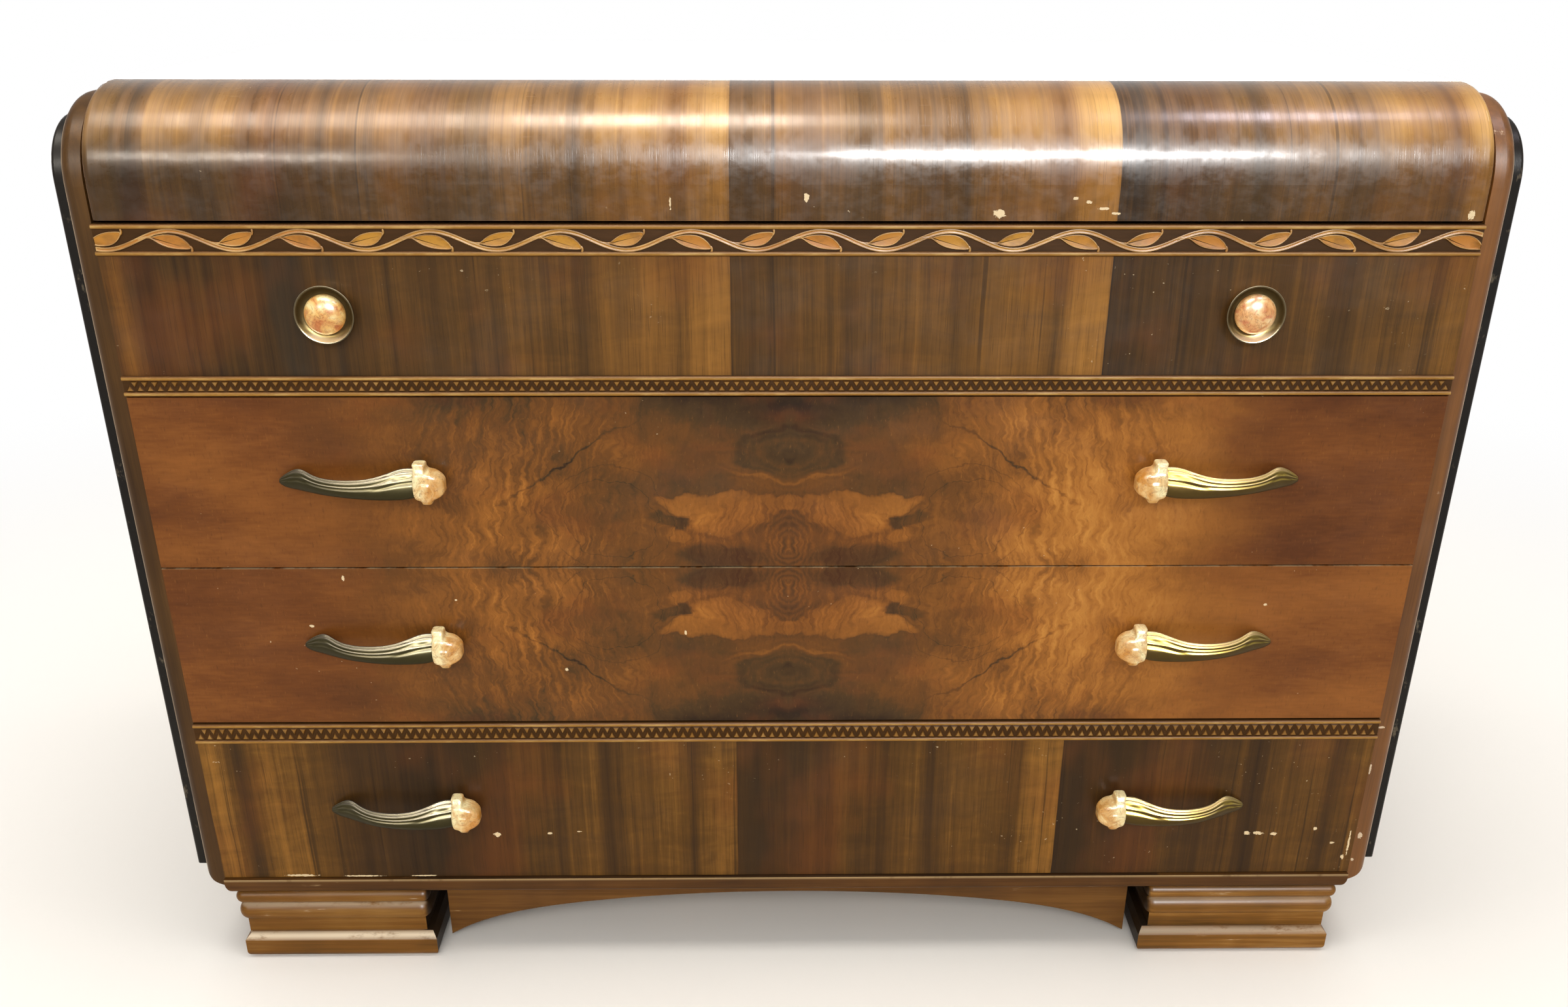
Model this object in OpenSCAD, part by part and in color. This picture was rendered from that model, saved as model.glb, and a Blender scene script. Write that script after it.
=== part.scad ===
// Waterfall dresser: four full-width drawers under a bent top that rolls over the front.
// Millimetres, +Z up, front towards -Y. The origin is on the floor, in the middle of the overall box.

/* [Case] */
// Width of the drawer fronts
front_w = 1113; // [900:1:1340]
// Depth of the case, from the drawer faces to its back
case_d = 508; // [420:1:620]
// Gap between a drawer front and a side panel
side_gap = 1.2; // [0.8:0.1:2.5]
// Thickness of the side panels
side_t = 19; // [15:0.5:24]
// How far the side panels' front edges lie behind the drawer faces
side_set = 3; // [1:0.5:5]
// Rounding of the side panels' outer edges
side_arris = 10; // [5:0.5:12]
// Radius of the side panels' lower outer corners
side_low_r = 24; // [18:1:30]
// Height of the side panels' lower edges above the underside of the base rail
side_lift = 4; // [1:0.5:8]
// Thickness of the back panel
back_t = 5; // [3:0.5:8]

/* [Side overlays] */
// Thickness of the overlay panels on the outside of the sides
overlay_t = 10; // [6:0.5:14]
// Inset of an overlay from the side panel's front edge
overlay_front = 10; // [6:0.5:16]
// Drop of an overlay's top below the side panel's top
overlay_drop = 16; // [10:0.5:22]
// Radius of an overlay's upper front corner
overlay_r = 48; // [38:1:58]
// Height of an overlay's straight lower end above the side panel's lower edge
overlay_lift = 20; // [16:1:40]
// Rounding of the overlays' outer edges
overlay_arris = 3; // [1:0.5:5]

/* [Waterfall top] */
// Height from the lip's lower edge to the top surface
top_rise = 100.5; // [90:0.5:120]
// Outer radius of the roll at the front
top_r = 72; // [60:1:86.4]
// Thickness of the bent top
top_t = 12; // [10:0.5:15]
// Rounding of the bent top's ends
top_arris = 6; // [3:0.5:8]
// How far the top stands above the side panels
top_reveal = 8.5; // [4:0.5:10]
// Gap between the lip and the first drawer
lip_gap = 2.5; // [1.5:0.1:4]

/* [Drawers] */
// Height of the first drawer front, the upper one
drawer_1_h = 143.5; // [120:0.5:180]
// Height of the second drawer front
drawer_2_h = 157.8; // [130:0.1:190]
// Height of the third drawer front
drawer_3_h = 159; // [130:0.5:190]
// Height of the fourth drawer front
drawer_4_h = 177.5; // [148:0.5:214]
// Gap between neighbouring drawer fronts
drawer_gap = 1.5; // [1:0.1:3]
// Gap between the fourth drawer and the base rail
base_gap = 1.2; // [0.8:0.1:2.5]
// Thickness of the drawer fronts
front_t = 20; // [17:0.5:24]
// Thickness of the drawer sides and backs
box_t = 12; // [9:0.5:15]
// Thickness of the drawer bottoms
bottom_t = 5; // [3:0.5:6]
// Height of a drawer bottom above its box's lower edge
bottom_lift = 8; // [6:0.5:12]
// How far a drawer bottom is let into its sides and front
groove_d = 6; // [4:0.5:7]
// Space behind a closed drawer
tail_gap = 23; // [10:1:40]
// Head room over a drawer box
box_head = 6; // [4:0.5:10]
// Step of a drawer's back below its sides
back_step = 10; // [4:1:20]

/* [Frame inside] */
// Thickness of the divider rails between drawers
rail_t = 20; // [16:0.5:24]
// Depth of the divider rails
rail_d = 44.5; // [35:0.5:60]
// Thickness of the fourth drawer's runners, on the base rails
base_runner_t = 9.3; // [7:0.1:12]
// Width of the drawer runners
runner_w = 38; // [30:1:48]
// Width of a drawer guide
guide_w = 12; // [10:0.5:15]
// Height of a drawer guide
guide_h = 18; // [12:1:24]
// Section of the cleats under the top
cleat_w = 20; // [16:1:26]
// Height of the side cleats
cleat_h = 25; // [18:1:32]
// Height of the back cleat
back_cleat_h = 40; // [30:1:50]
// Number of ribs under the roll
rib_count = 4; // [3:1:6]
// Thickness of a rib
rib_t = 18; // [12:1:24]
// Depth of a rib, from the lip backwards
rib_d = 98; // [90:1:120]

/* [Mouldings] */
// Height of the vine moulding on the first drawer
vine_h = 25.5; // [22:0.5:30]
// Height of the chip-carved moulding under the first drawer's field
chip_1_h = 17.5; // [15:0.5:21]
// Height of the chip-carved moulding on the fourth drawer
chip_4_h = 21; // [17.5:0.5:25]
// How deep the mouldings are let into the fronts
moulding_in = 4; // [2.5:0.5:5]
// How far a moulding's ground stands before the drawer face
moulding_out = 1; // [0.5:0.5:2]
// Radius of the beads along a moulding's edges
bead_r = 2; // [1.5:0.1:2.4]

/* [Knobs] */
// Distance from a front's end to a knob's axis
knob_inset = 177.5; // [140:0.5:220]
// Height of the knobs above the middle of the first drawer's field
knob_rise = 4; // [-6:0.5:8]
// Outer radius of a knob's cup
cup_r = 24.2; // [20:0.1:29]
// How far a cup's rim stands before the drawer face
cup_h = 10.6; // [9:0.1:13]
// Radius of a knob's stone
stone_r = 16.5; // [13.5:0.5:19]
// Crown of a stone above its rim
stone_crown = 10; // [8:0.5:13]

/* [Pulls] */
// Distance from a front's end to a pull's tip
tip_inset = 118; // [95:0.5:142]
// Length of a pull, from its tip to its end cap's far side
pull_len = 141.5; // [125:0.5:170]
// Height of the pulls above the middle of their drawers' plain fields
pull_rise = 5; // [-4:0.5:12]
// Height of a pull's bar
bar_h = 12.5; // [10:0.1:15]
// Depth of a pull's bar
bar_d = 8; // [6.6:0.1:9.6]
// How far the bar's outer face stands before the drawer face at the most
bar_out = 26.5; // [24:0.1:31.8]
// Radius of an end cap's collar
collar_r = 18.9; // [16.5:0.1:22.7]
// Thickness of an end cap's collar
collar_t = 12; // [10:0.5:14]
// Radius of an end cap's dome
dome_r = 16.5; // [14:0.5:18]
// Distance of a collar's axis from the drawer face
collar_y = 9; // [7.5:0.1:12]

/* [Base and feet] */
// Height of the feet
foot_h = 79; // [68:1:97]
// Height of the base rail
base_rail_h = 15.5; // [13:0.5:18.5]
// Depth of the base rails, front and back
base_rail_d = 58; // [48:1:68]
// How far the base rail stands before the drawer faces
base_out = 3; // [1:0.5:5]
// Rounding of the base rail's lower ends
base_end = 10; // [6:0.5:12]
// Rounding of the base rail's lower front edge
base_round = 4; // [3:0.5:8]
// Width of a front foot
foot_w = 191.5; // [160:0.5:232]
// How far the feet's upper tiers stand before the drawer faces
foot_out_y = 4; // [2:0.5:6]
// Depth of a front foot
foot_d = 92; // [76:1:110]
// Inset of a front foot's upper tiers from the front's end
foot_inset = 7; // [4:0.5:12]
// Height of the lower tier
tier_3_h = 27; // [24:0.5:32]
// Height of the neck
neck_h = 15.5; // [13:0.5:18]
// Height of the middle tier
tier_2_h = 21.5; // [18:0.5:25.5]
// Depth of the neck's recess
neck_in = 7; // [4:0.5:10]
// How far the lower tier stands before the upper ones
tier_3_out = 2; // [0.5:0.5:3]
// How far the lower tier is shifted towards the middle of the dresser
tier_3_shift = 4; // [0:0.5:6]
// Depth of the bevel along the lower tier's upper front edge
tier_3_bevel = 8; // [5:0.5:10]
// Fall of the lower tier's bevels
tier_3_fall = 5; // [3:0.5:7]
// Rounding of the lower tier's bottom edges
tier_3_round = 8; // [5:0.5:10]
// Side of a rear foot
rear_foot_w = 50; // [40:1:60]
// Distance from the drawer faces to the apron
apron_set = 22; // [16:1:30]
// Thickness of the apron
apron_t = 15; // [12:0.5:18]
// Gap between the apron's end and a front foot
apron_gap = 10; // [4:0.5:14]
// Height of the apron's lower ends above the floor
apron_low = 5; // [4:0.5:12]
// Height of the arch's crown above the floor
apron_crown = 57; // [46:0.5:63]

/* [Fasteners] */
// Radius of a screw's shank
screw_r = 2; // [1.5:0.1:2.4]
// Radius of a screw's head
head_r = 4.2; // [3.5:0.1:5]
// Thickness of a screw's head
head_t = 2.4; // [2:0.1:3]

/* [Fits] */
// Clearance under a drawer side on its runner
run_gap = 0.3; // [0.2:0.1:0.8]
// Play between a drawer side and its guide
guide_gap = 0.7; // [0.4:0.1:1.5]
// Gap between a closed front and the rails behind it
stop_gap = 0.5; // [0.3:0.1:1]
// Clearance round a screw's shank
screw_gap = 0.1; // [0.05:0.05:0.3]
// Seating gap of what lies against a curve
seat_gap = 0.3; // [0.2:0.1:0.5]

/* [Hidden] */
$fn = 64;

// Where the case stands: y = 0 in case coordinates is the plane of the drawer faces
proud = max(bar_out, collar_y + collar_r);
face_y = proud - (case_d + proud) / 2;

// Half widths
front_half = front_w / 2;
inner_half = front_half + side_gap;
outer_half = inner_half + side_t;
box_half = inner_half - guide_w - guide_gap;

// Levels of the drawers, first to fourth
drawer_hs = [drawer_1_h, drawer_2_h, drawer_3_h, drawer_4_h];
base_top = foot_h + base_rail_h;
low_4 = base_top + base_gap;
low_3 = low_4 + drawer_4_h + drawer_gap;
low_2 = low_3 + drawer_3_h + drawer_gap;
low_1 = low_2 + drawer_2_h + drawer_gap;
lows = [low_1, low_2, low_3, low_4];
lip_z = low_1 + drawer_1_h + lip_gap;
top_z = lip_z + top_rise;
function drawer_low(n) = lows[n - 1];
function drawer_high(n) = drawer_low(n) + drawer_hs[n - 1];

// Side panels and overlays
side_top = top_z - top_reveal;
side_low = foot_h + side_lift;
side_r = top_r - (side_set + top_reveal) / 2;
overlay_y = side_set + overlay_front;
overlay_top = side_top - overlay_drop;
overlay_low = side_low + overlay_lift;

// Divider rail n lies behind the gap under drawer n
rail_y = front_t + stop_gap;
rail_back = rail_y + rail_d;
back_y = case_d - back_t;
function rail_low(n) = drawer_low(n) - drawer_gap / 2 - rail_t / 2;
function rail_high(n) = rail_low(n) + rail_t;
function runner_top(n) = n == 4 ? base_top + base_runner_t : rail_high(n);

// Drawer boxes
box_end = back_y - tail_gap;
function box_low(n) = runner_top(n) + run_gap;
function box_high(n) = (n == 1 ? lip_z : rail_low(n - 1)) - box_head;
function bottom_z(n) = box_low(n) + bottom_lift;

// Moulding bands
vine_z = drawer_high(1) - vine_h;
chip_4_z = drawer_high(4) - chip_4_h;

// Knobs
knob_x = front_half - knob_inset;
knob_z = (drawer_low(1) + chip_1_h + vine_z) / 2 + knob_rise;
cup_floor = cup_h - 6;
stone_rim = cup_floor + 3;
stone_sphere = (stone_r * stone_r + stone_crown * stone_crown) / (2 * stone_crown);

// Pulls, on the right-hand side
tip_x = front_half - tip_inset;
cap_x = tip_x - pull_len;
collar_x = cap_x + dome_r;
bar_x = collar_x + collar_t;
bow_x = bar_x + pull_len / 5;
bow_fall = bar_out - bar_d;
bow_r = ((tip_x - bow_x) * (tip_x - bow_x) + bow_fall * bow_fall) / (2 * bow_fall);
bow_y = bow_r + bar_d / 2 - bar_out;
bow_from = asin((bar_x - bow_x) / bow_r) - 1;
bow_to = asin((tip_x - bow_x) / bow_r);
post_x = tip_x - 15;
post_r = 4.5;
post_h = sqrt(bow_r * bow_r - (post_x - bow_x) * (post_x - bow_x)) - bow_y;
cap_screw_in = 12;
function pull_z(n) = (drawer_low(n) + (n == 4 ? chip_4_z : drawer_high(n))) / 2 + pull_rise;

// Feet
foot_out = front_half - foot_inset;
foot_in = foot_out - foot_w;
tier_2_z = tier_3_h + neck_h;
tier_1_z = tier_2_z + tier_2_h + 0.5;
apron_half = foot_in - tier_3_shift - apron_gap + 2;
arch_share = 0.62;
arch_power = 8;
arch_steps = 40;

// Colours
walnut = [0.34, 0.22, 0.13];
burl = [0.48, 0.27, 0.13];
stained = [0.42, 0.27, 0.14];
ebonised = [0.12, 0.09, 0.07];
carved = [0.56, 0.40, 0.22];
inner_wood = [0.72, 0.58, 0.40];
ply = [0.55, 0.42, 0.28];
brass = [0.62, 0.53, 0.30];
pewter = [0.42, 0.40, 0.34];
marbled = [0.92, 0.74, 0.48];
steel = [0.60, 0.60, 0.60];

// Moves case coordinates to the part's own frame
module placed() {
    translate([0, face_y, 0]) children();
}

// Turns a drawing of depth and height, extruded outwards, to stand on the right-hand side
module side_on() {
    rotate([90, 0, 90]) children();
}

// Draws for the right-hand side, or mirrors to the left
module handed(side) {
    if (side > 0) children();
    else mirror([1, 0, 0]) children();
}

// A box between two corners
module block(low, high) {
    translate(low) cube(high - low);
}

// Section of a sheet's edge: w wide, t thick, with one rounded outer corner
module edge_section(w, t, arris) {
    square([w - arris, t]);
    square([w, t - arris]);
    translate([w - arris, t - arris]) circle(arris);
}

// A straight stretch of edge section
module edge_strip(length, w, t, arris) {
    rotate([90, 0, 0]) linear_extrude(length) edge_section(w, t, arris);
}

// A sheet in side view, with a rounded upper front corner
module profiled_sheet(front, back, low, high, r, t, arris) {
    w = 2.5 * arris;
    translate([front + r, high - r, 0]) rotate([0, 0, 90]) rotate_extrude(angle = 90) edge_section(r, t, arris);
    translate([front + w, high - r, 0]) mirror([1, 0, 0]) edge_strip(high - r - low, w, t, arris);
    translate([front + r, high - w, 0]) rotate([0, 0, 90]) edge_strip(back - front - r, w, t, arris);
    linear_extrude(t) polygon([
        [front + w, low], [back, low], [back, high - w],
        [front + r, high - w], [front + r, high - r], [front + w, high - r]
    ]);
}

// Front view of a sheet of thickness t, with its lower outer corner rounded
module low_rounded(t, low, high, r) {
    intersection() {
        translate([0, low]) square([t, high - low]);
        union() {
            translate([t - r, low + r]) circle(r);
            translate([0, low + r]) square([t, high - low - r]);
            if (t > r) translate([0, low]) square([t - r, r]);
        }
    }
}

module side_panel(side) {
    color(stained) placed() handed(side) translate([inner_half, 0, 0]) intersection() {
        side_on() profiled_sheet(side_set, case_d, side_low, side_top, side_r, side_t, side_arris);
        translate([0, case_d + 1, 0]) rotate([90, 0, 0]) linear_extrude(case_d + 2)
            low_rounded(side_t, side_low, side_top + 1, side_low_r);
    }
}

module side_overlay(side) {
    color(ebonised) placed() handed(side) translate([outer_half, 0, 0]) side_on()
        profiled_sheet(overlay_y, case_d, overlay_low, overlay_top, overlay_r, overlay_t, overlay_arris);
}

// Right-hand half of the bent top: lip, roll and flat
module half_top() {
    translate([top_t, top_z - top_r, 0]) mirror([1, 0, 0])
        edge_strip(top_rise - top_r, top_t, front_half, top_arris);
    translate([top_r, top_z - top_r, 0]) rotate([0, 0, 90]) rotate_extrude(angle = 90)
        translate([top_r - top_t, 0]) edge_section(top_t, front_half, top_arris);
    translate([top_r, top_z - top_t, 0]) rotate([0, 0, 90])
        edge_strip(case_d - top_r, top_t, front_half, top_arris);
}

module waterfall_top() {
    color(walnut) placed() {
        side_on() half_top();
        mirror([1, 0, 0]) side_on() half_top();
    }
}

module top_front_rail() {
    color(inner_wood) placed() block([-inner_half, top_t, lip_z], [inner_half, top_t + rail_d, lip_z + rail_t]);
}

// Two side cleats and one back cleat under the flat of the top
module top_cleats() {
    under = top_z - top_t;
    back_cleat_y = back_y - cleat_w;
    color(inner_wood) placed() {
        for (side = [-1, 1]) handed(side)
            block([inner_half - cleat_w, top_t + rib_d + cleat_w, under - cleat_h],
                  [inner_half, back_cleat_y, under]);
        block([-inner_half, back_cleat_y, under - back_cleat_h], [inner_half, back_y, under]);
    }
}

// One rib in side view, cut to the inside of the roll
module rib_outline() {
    front = top_t + seat_gap;
    low = lip_z + rail_t;
    high = top_z - top_t;
    r = top_r - top_t;
    intersection() {
        translate([front, low]) square([rib_d, high - low]);
        union() {
            translate([front + r, high - r]) circle(r);
            translate([front + r, low]) square([rib_d, high - low]);
            translate([front, low]) square([rib_d, high - r - low]);
        }
    }
}

module bend_ribs() {
    pitch = 2 * (inner_half - rib_t) / (rib_count - 1);
    color(inner_wood) placed()
        for (i = [0 : rib_count - 1])
            translate([-inner_half + i * pitch + (i == 0 ? 0 : i == rib_count - 1 ? rib_t : rib_t / 2), 0, 0])
                side_on() linear_extrude(rib_t) rib_outline();
}

module back_panel() {
    color(ply) placed() block([-inner_half, back_y, foot_h], [inner_half, case_d, top_z - top_t]);
}

module divider_rail(n) {
    color(inner_wood) placed() block([-inner_half, rail_y, rail_low(n)], [inner_half, rail_back, rail_high(n)]);
}

function runner_front(n) = n == 4 ? rail_y : rail_back;
function runner_t(n) = n == 4 ? base_runner_t : rail_t;

module drawer_runners() {
    color(inner_wood) placed()
        for (n = [1 : 4], side = [-1, 1]) handed(side)
            block([inner_half - runner_w, runner_front(n), runner_top(n) - runner_t(n)],
                  [inner_half, back_y, runner_top(n)]);
}

// Strips on the runners that guide the drawer sides
module drawer_guides() {
    color(inner_wood) placed()
        for (n = [1 : 4], side = [-1, 1]) handed(side)
            block([inner_half - guide_w, runner_front(n), runner_top(n)],
                  [inner_half, back_y, runner_top(n) + guide_h]);
}

// Front base rail: it stands before the drawer faces, and its lower front edge and lower ends are rounded
module base_rail() {
    front = -base_out;
    cut_y = front_t;
    ends = front_half - base_end;
    color(stained) placed() {
        intersection() {
            translate([-front_half, 0, 0]) side_on() linear_extrude(front_w) {
                translate([front, foot_h + base_round]) square([cut_y - front, base_rail_h - base_round]);
                translate([front + base_round, foot_h]) square([cut_y - front - base_round, base_rail_h]);
                translate([front + base_round, foot_h + base_round]) circle(base_round);
            }
            translate([0, cut_y + 1, 0]) rotate([90, 0, 0]) linear_extrude(cut_y - front + 2) {
                translate([-ends, foot_h - 1]) square([2 * ends, base_rail_h + 2]);
                translate([-front_half, foot_h + base_end]) square([front_w, base_rail_h - base_end + 1]);
                for (x = [-ends, ends]) translate([x, foot_h + base_end]) circle(base_end);
            }
        }
        block([-inner_half, cut_y, foot_h], [inner_half, base_rail_d, base_top]);
    }
}

module base_back_rail() {
    color(inner_wood) placed() block([-inner_half, back_y - base_rail_d, foot_h], [inner_half, back_y, base_top]);
}

// Height of the arch above the floor at a distance x from the middle
function arch_fall(t) = arch_share * t * t + (1 - arch_share) * pow(t, arch_power);
function arch(x) = apron_crown - (apron_crown - apron_low) * arch_fall(abs(x) / apron_half);

module apron() {
    points = [for (i = [-arch_steps : arch_steps]) [i * apron_half / arch_steps, arch(i * apron_half / arch_steps)]];
    color(stained) placed() translate([0, apron_set + apron_t, 0]) rotate([90, 0, 0]) linear_extrude(apron_t)
        polygon(concat([[apron_half, foot_h], [-apron_half, foot_h]], points));
}

// A slab with a half-round nose on its front and both ends
module nosed_slab(x0, x1, y0, y1, z0, t) {
    r = t / 2;
    block([x0 + r, y0 + r, z0], [x1 - r, y1, z0 + t]);
    translate([x0 + r, y0 + r, z0 + r]) rotate([0, 90, 0]) cylinder(h = x1 - x0 - t, r = r);
    for (x = [x0 + r, x1 - r]) {
        translate([x, y0 + r, z0 + r]) rotate([-90, 0, 0]) cylinder(h = y1 - y0 - r, r = r);
        translate([x, y0 + r, z0 + r]) sphere(r);
    }
}

// Edge of the lower tier: a bevel of run b, an upright face, and a rounded bottom, w wide inwards
module tier_edge(w, b) {
    r = tier_3_round;
    polygon([[0, r], [w, r], [w, tier_3_h], [b, tier_3_h], [0, tier_3_h - tier_3_fall]]);
    translate([r, 0]) square([w - r, r]);
    translate([r, r]) circle(r);
}

// Right-hand front foot: two nosed tiers, a neck, and a bevelled lower tier
module front_foot(side) {
    x0 = foot_in - tier_3_shift;
    width = foot_out - foot_in;
    y0 = -foot_out_y;
    low_y0 = y0 - tier_3_out;
    neck_y = y0 + neck_in;
    tier_1_h = foot_h - tier_1_z;
    color(stained) placed() handed(side) {
        nosed_slab(foot_in, foot_out, y0, foot_d, tier_1_z, tier_1_h);
        block([foot_in + neck_in, neck_y, tier_1_z - 1], [foot_out - neck_in, foot_d, tier_1_z + 1]);
        nosed_slab(foot_in, foot_out, y0, foot_d, tier_2_z, tier_2_h);
        block([foot_in + neck_in, neck_y, tier_3_h - tier_3_fall], [foot_out - neck_in, foot_d, tier_2_z + 1]);
        intersection() {
            translate([x0, foot_d, 0]) rotate([90, 0, 0]) linear_extrude(foot_d - low_y0) {
                tier_edge(width / 2, tier_3_fall);
                translate([width, 0]) mirror([1, 0]) tier_edge(width / 2, tier_3_fall);
            }
            translate([x0, low_y0, 0]) side_on() linear_extrude(width) tier_edge(foot_d - low_y0, tier_3_bevel);
        }
    }
}

module rear_feet() {
    color(inner_wood) placed()
        for (side = [-1, 1]) handed(side)
            block([inner_half - 2 - rear_foot_w, back_y - rear_foot_w, 0], [inner_half - 2, back_y, foot_h]);
}

// Blocks that hold the apron under the base rail
module glue_blocks() {
    size = 20;
    length = 40;
    color(inner_wood) placed()
        for (x = [-0.8, -0.3, 0.3, 0.8])
            translate([x * apron_half - length / 2, apron_set + apron_t, foot_h - size]) cube([length, size, size]);
}

// A hole through a drawer front for a screw
module screw_hole(x, z) {
    translate([x, -1, z]) rotate([-90, 0, 0]) cylinder(h = front_t + 2, r = screw_r + screw_gap);
}

// A screw from inside a drawer, its tip reaching before the drawer face
module screw(x, z, reach) {
    translate([x, -reach, z]) rotate([-90, 0, 0]) cylinder(h = front_t + reach, r = screw_r);
    translate([x, front_t, z]) rotate([-90, 0, 0]) cylinder(h = head_t, r = head_r);
}

// Seat of a moulding in a drawer front
module moulding_seat(z0, h) {
    block([-front_half - 1, -1, z0], [front_half + 1, moulding_in, z0 + h]);
}

module drawer_front(n) {
    low = drawer_low(n);
    high = drawer_high(n);
    color(n == 2 || n == 3 ? burl : walnut) placed() difference() {
        block([-front_half, 0, low], [front_half, front_t, high]);
        block([-box_half + box_t - groove_d, front_t - groove_d, bottom_z(n)],
              [box_half - box_t + groove_d, front_t + 1, bottom_z(n) + bottom_t]);
        if (n == 1) {
            moulding_seat(vine_z, vine_h + 1);
            moulding_seat(low - 1, chip_1_h + 1);
            for (x = [-knob_x, knob_x]) screw_hole(x, knob_z);
        } else {
            for (x = [post_x, collar_x], side = [-1, 1]) screw_hole(side * x, pull_z(n));
        }
        if (n == 4) moulding_seat(chip_4_z, chip_4_h + 1);
    }
}

module drawer_sides(n) {
    color(inner_wood) placed() for (side = [-1, 1]) handed(side) difference() {
        block([box_half - box_t, front_t, box_low(n)], [box_half, box_end, box_high(n)]);
        block([box_half - box_t - 1, front_t - 1, bottom_z(n)],
              [box_half - box_t + groove_d, box_end + 1, bottom_z(n) + bottom_t]);
    }
}

module drawer_back(n) {
    half = box_half - box_t;
    color(inner_wood) placed()
        block([-half, box_end - box_t, bottom_z(n) + bottom_t], [half, box_end, box_high(n) - back_step]);
}

module drawer_bottom(n) {
    half = box_half - box_t + groove_d - seat_gap;
    color(ply) placed()
        block([-half, front_t - groove_d + seat_gap, bottom_z(n)], [half, box_end, bottom_z(n) + bottom_t]);
}

// A band let into a front, with a bead along each edge
module banded_moulding(z0, h) {
    block([-front_half, -moulding_out, z0], [front_half, moulding_in, z0 + h]);
    for (z = [z0 + bead_r, z0 + h - bead_r])
        translate([-front_half, -moulding_out, z]) rotate([0, 90, 0]) cylinder(h = front_w, r = bead_r);
}

module vine_moulding() {
    color(carved) placed() banded_moulding(vine_z, vine_h);
}

module chip_moulding_1() {
    color(carved) placed() banded_moulding(drawer_low(1), chip_1_h);
}

module chip_moulding_4() {
    color(carved) placed() banded_moulding(chip_4_z, chip_4_h);
}

// Turns a part drawn upwards from a drawer face so that it stands out of the front
module on_face(x, z) {
    translate([x, 0, z]) rotate([90, 0, 0]) children();
}

// Dished cup: a base disc that flares out to a thin rim
module knob_cup(side) {
    steps = 8;
    flare = [for (i = [0 : steps]) [15 + (cup_r - 15) * sin(90 * i / steps), 1 + (cup_h - 1.6) * (1 - cos(90 * i / steps))]];
    dish = [for (i = [0 : steps]) [stone_r + 0.8 + (cup_r - stone_r - 2.4) * cos(90 * i / steps),
                                   cup_h - (cup_h - cup_floor) * sin(90 * i / steps)]];
    color(brass) placed() on_face(side * knob_x, knob_z) difference() {
        rotate_extrude() polygon(concat([[0, 0], [13.5, 0]], flare, dish, [[0, cup_floor]]));
        translate([0, 0, -1]) cylinder(h = cup_floor + 2, r = screw_r + screw_gap);
    }
}

// Domed stone, seated on the cup's floor
module knob_stone(side) {
    color(marbled) placed() on_face(side * knob_x, knob_z) difference() {
        union() {
            translate([0, 0, cup_floor]) cylinder(h = stone_rim - cup_floor, r = stone_r);
            intersection() {
                translate([0, 0, stone_rim + stone_crown - stone_sphere]) sphere(stone_sphere);
                translate([0, 0, stone_rim]) cylinder(h = stone_crown + 1, r = stone_r);
            }
        }
        translate([0, 0, cup_floor - 1]) cylinder(h = 7, r = screw_r + screw_gap);
    }
}

module knob_screws() {
    color(steel) placed() for (x = [-knob_x, knob_x]) screw(x, knob_z, cup_floor + 5);
}

module bar_section() {
    translate([-bar_d / 2, -(bar_h - bar_d) / 2]) square([bar_d, bar_h - bar_d]);
    for (z = [-1, 1]) translate([0, z * (bar_h - bar_d) / 2]) circle(bar_d / 2);
}

// Cast bar: bows out of the end cap and comes back to the drawer face at its tip
module pull_bar(n, side) {
    color(side < 0 ? pewter : brass) placed() handed(side) translate([0, 0, pull_z(n)]) difference() {
        union() {
            intersection() {
                translate([bow_x, bow_y, 0]) rotate([0, 0, bow_from - 90])
                    rotate_extrude(angle = bow_to - bow_from) translate([bow_r, 0]) bar_section();
                block([bar_x, -2 * bar_out, -bar_h], [tip_x + bar_d, 0, bar_h]);
            }
            on_face(post_x, 0) cylinder(h = post_h, r = post_r);
        }
        on_face(post_x, 0) translate([0, 0, -1]) cylinder(h = post_h + 1, r = screw_r + screw_gap);
    }
}

// Marbled end cap: a collar against the bar and a dome towards the middle of the drawer
module pull_cap(n, side) {
    color(marbled) placed() handed(side) translate([0, 0, pull_z(n)]) difference() {
        intersection() {
            translate([collar_x, -collar_y, 0]) rotate([0, 90, 0]) rotate_extrude() {
                square([collar_r, collar_t]);
                intersection() {
                    circle(dome_r);
                    translate([0, -dome_r - 1]) square([dome_r + 1, dome_r + 2]);
                }
            }
            block([cap_x - 1, -2 * collar_r, -collar_r - 1], [bar_x, 0, collar_r + 1]);
        }
        on_face(collar_x, 0) translate([0, 0, -1]) cylinder(h = cap_screw_in + 1, r = screw_r + screw_gap);
    }
}

module pull_screws(n) {
    color(steel) placed() for (side = [-1, 1]) {
        screw(side * post_x, pull_z(n), post_h - 1);
        screw(side * collar_x, pull_z(n), cap_screw_in - 1);
    }
}

side_panel(-1);  // side_panel_left
side_panel(1);  // side_panel_right
side_overlay(-1);  // side_overlay_left
side_overlay(1);  // side_overlay_right
waterfall_top();
top_front_rail();
top_cleats();
bend_ribs();
back_panel();
divider_rail(1);  // divider_rail_1
divider_rail(2);  // divider_rail_2
divider_rail(3);  // divider_rail_3
drawer_runners();
drawer_guides();
base_rail();
base_back_rail();
apron();
front_foot(-1);  // front_foot_left
front_foot(1);  // front_foot_right
rear_feet();
glue_blocks();
drawer_front(1);  // drawer_1_front
drawer_sides(1);  // drawer_1_sides
drawer_back(1);  // drawer_1_back
drawer_bottom(1);  // drawer_1_bottom
drawer_front(2);  // drawer_2_front
drawer_sides(2);  // drawer_2_sides
drawer_back(2);  // drawer_2_back
drawer_bottom(2);  // drawer_2_bottom
drawer_front(3);  // drawer_3_front
drawer_sides(3);  // drawer_3_sides
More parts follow.
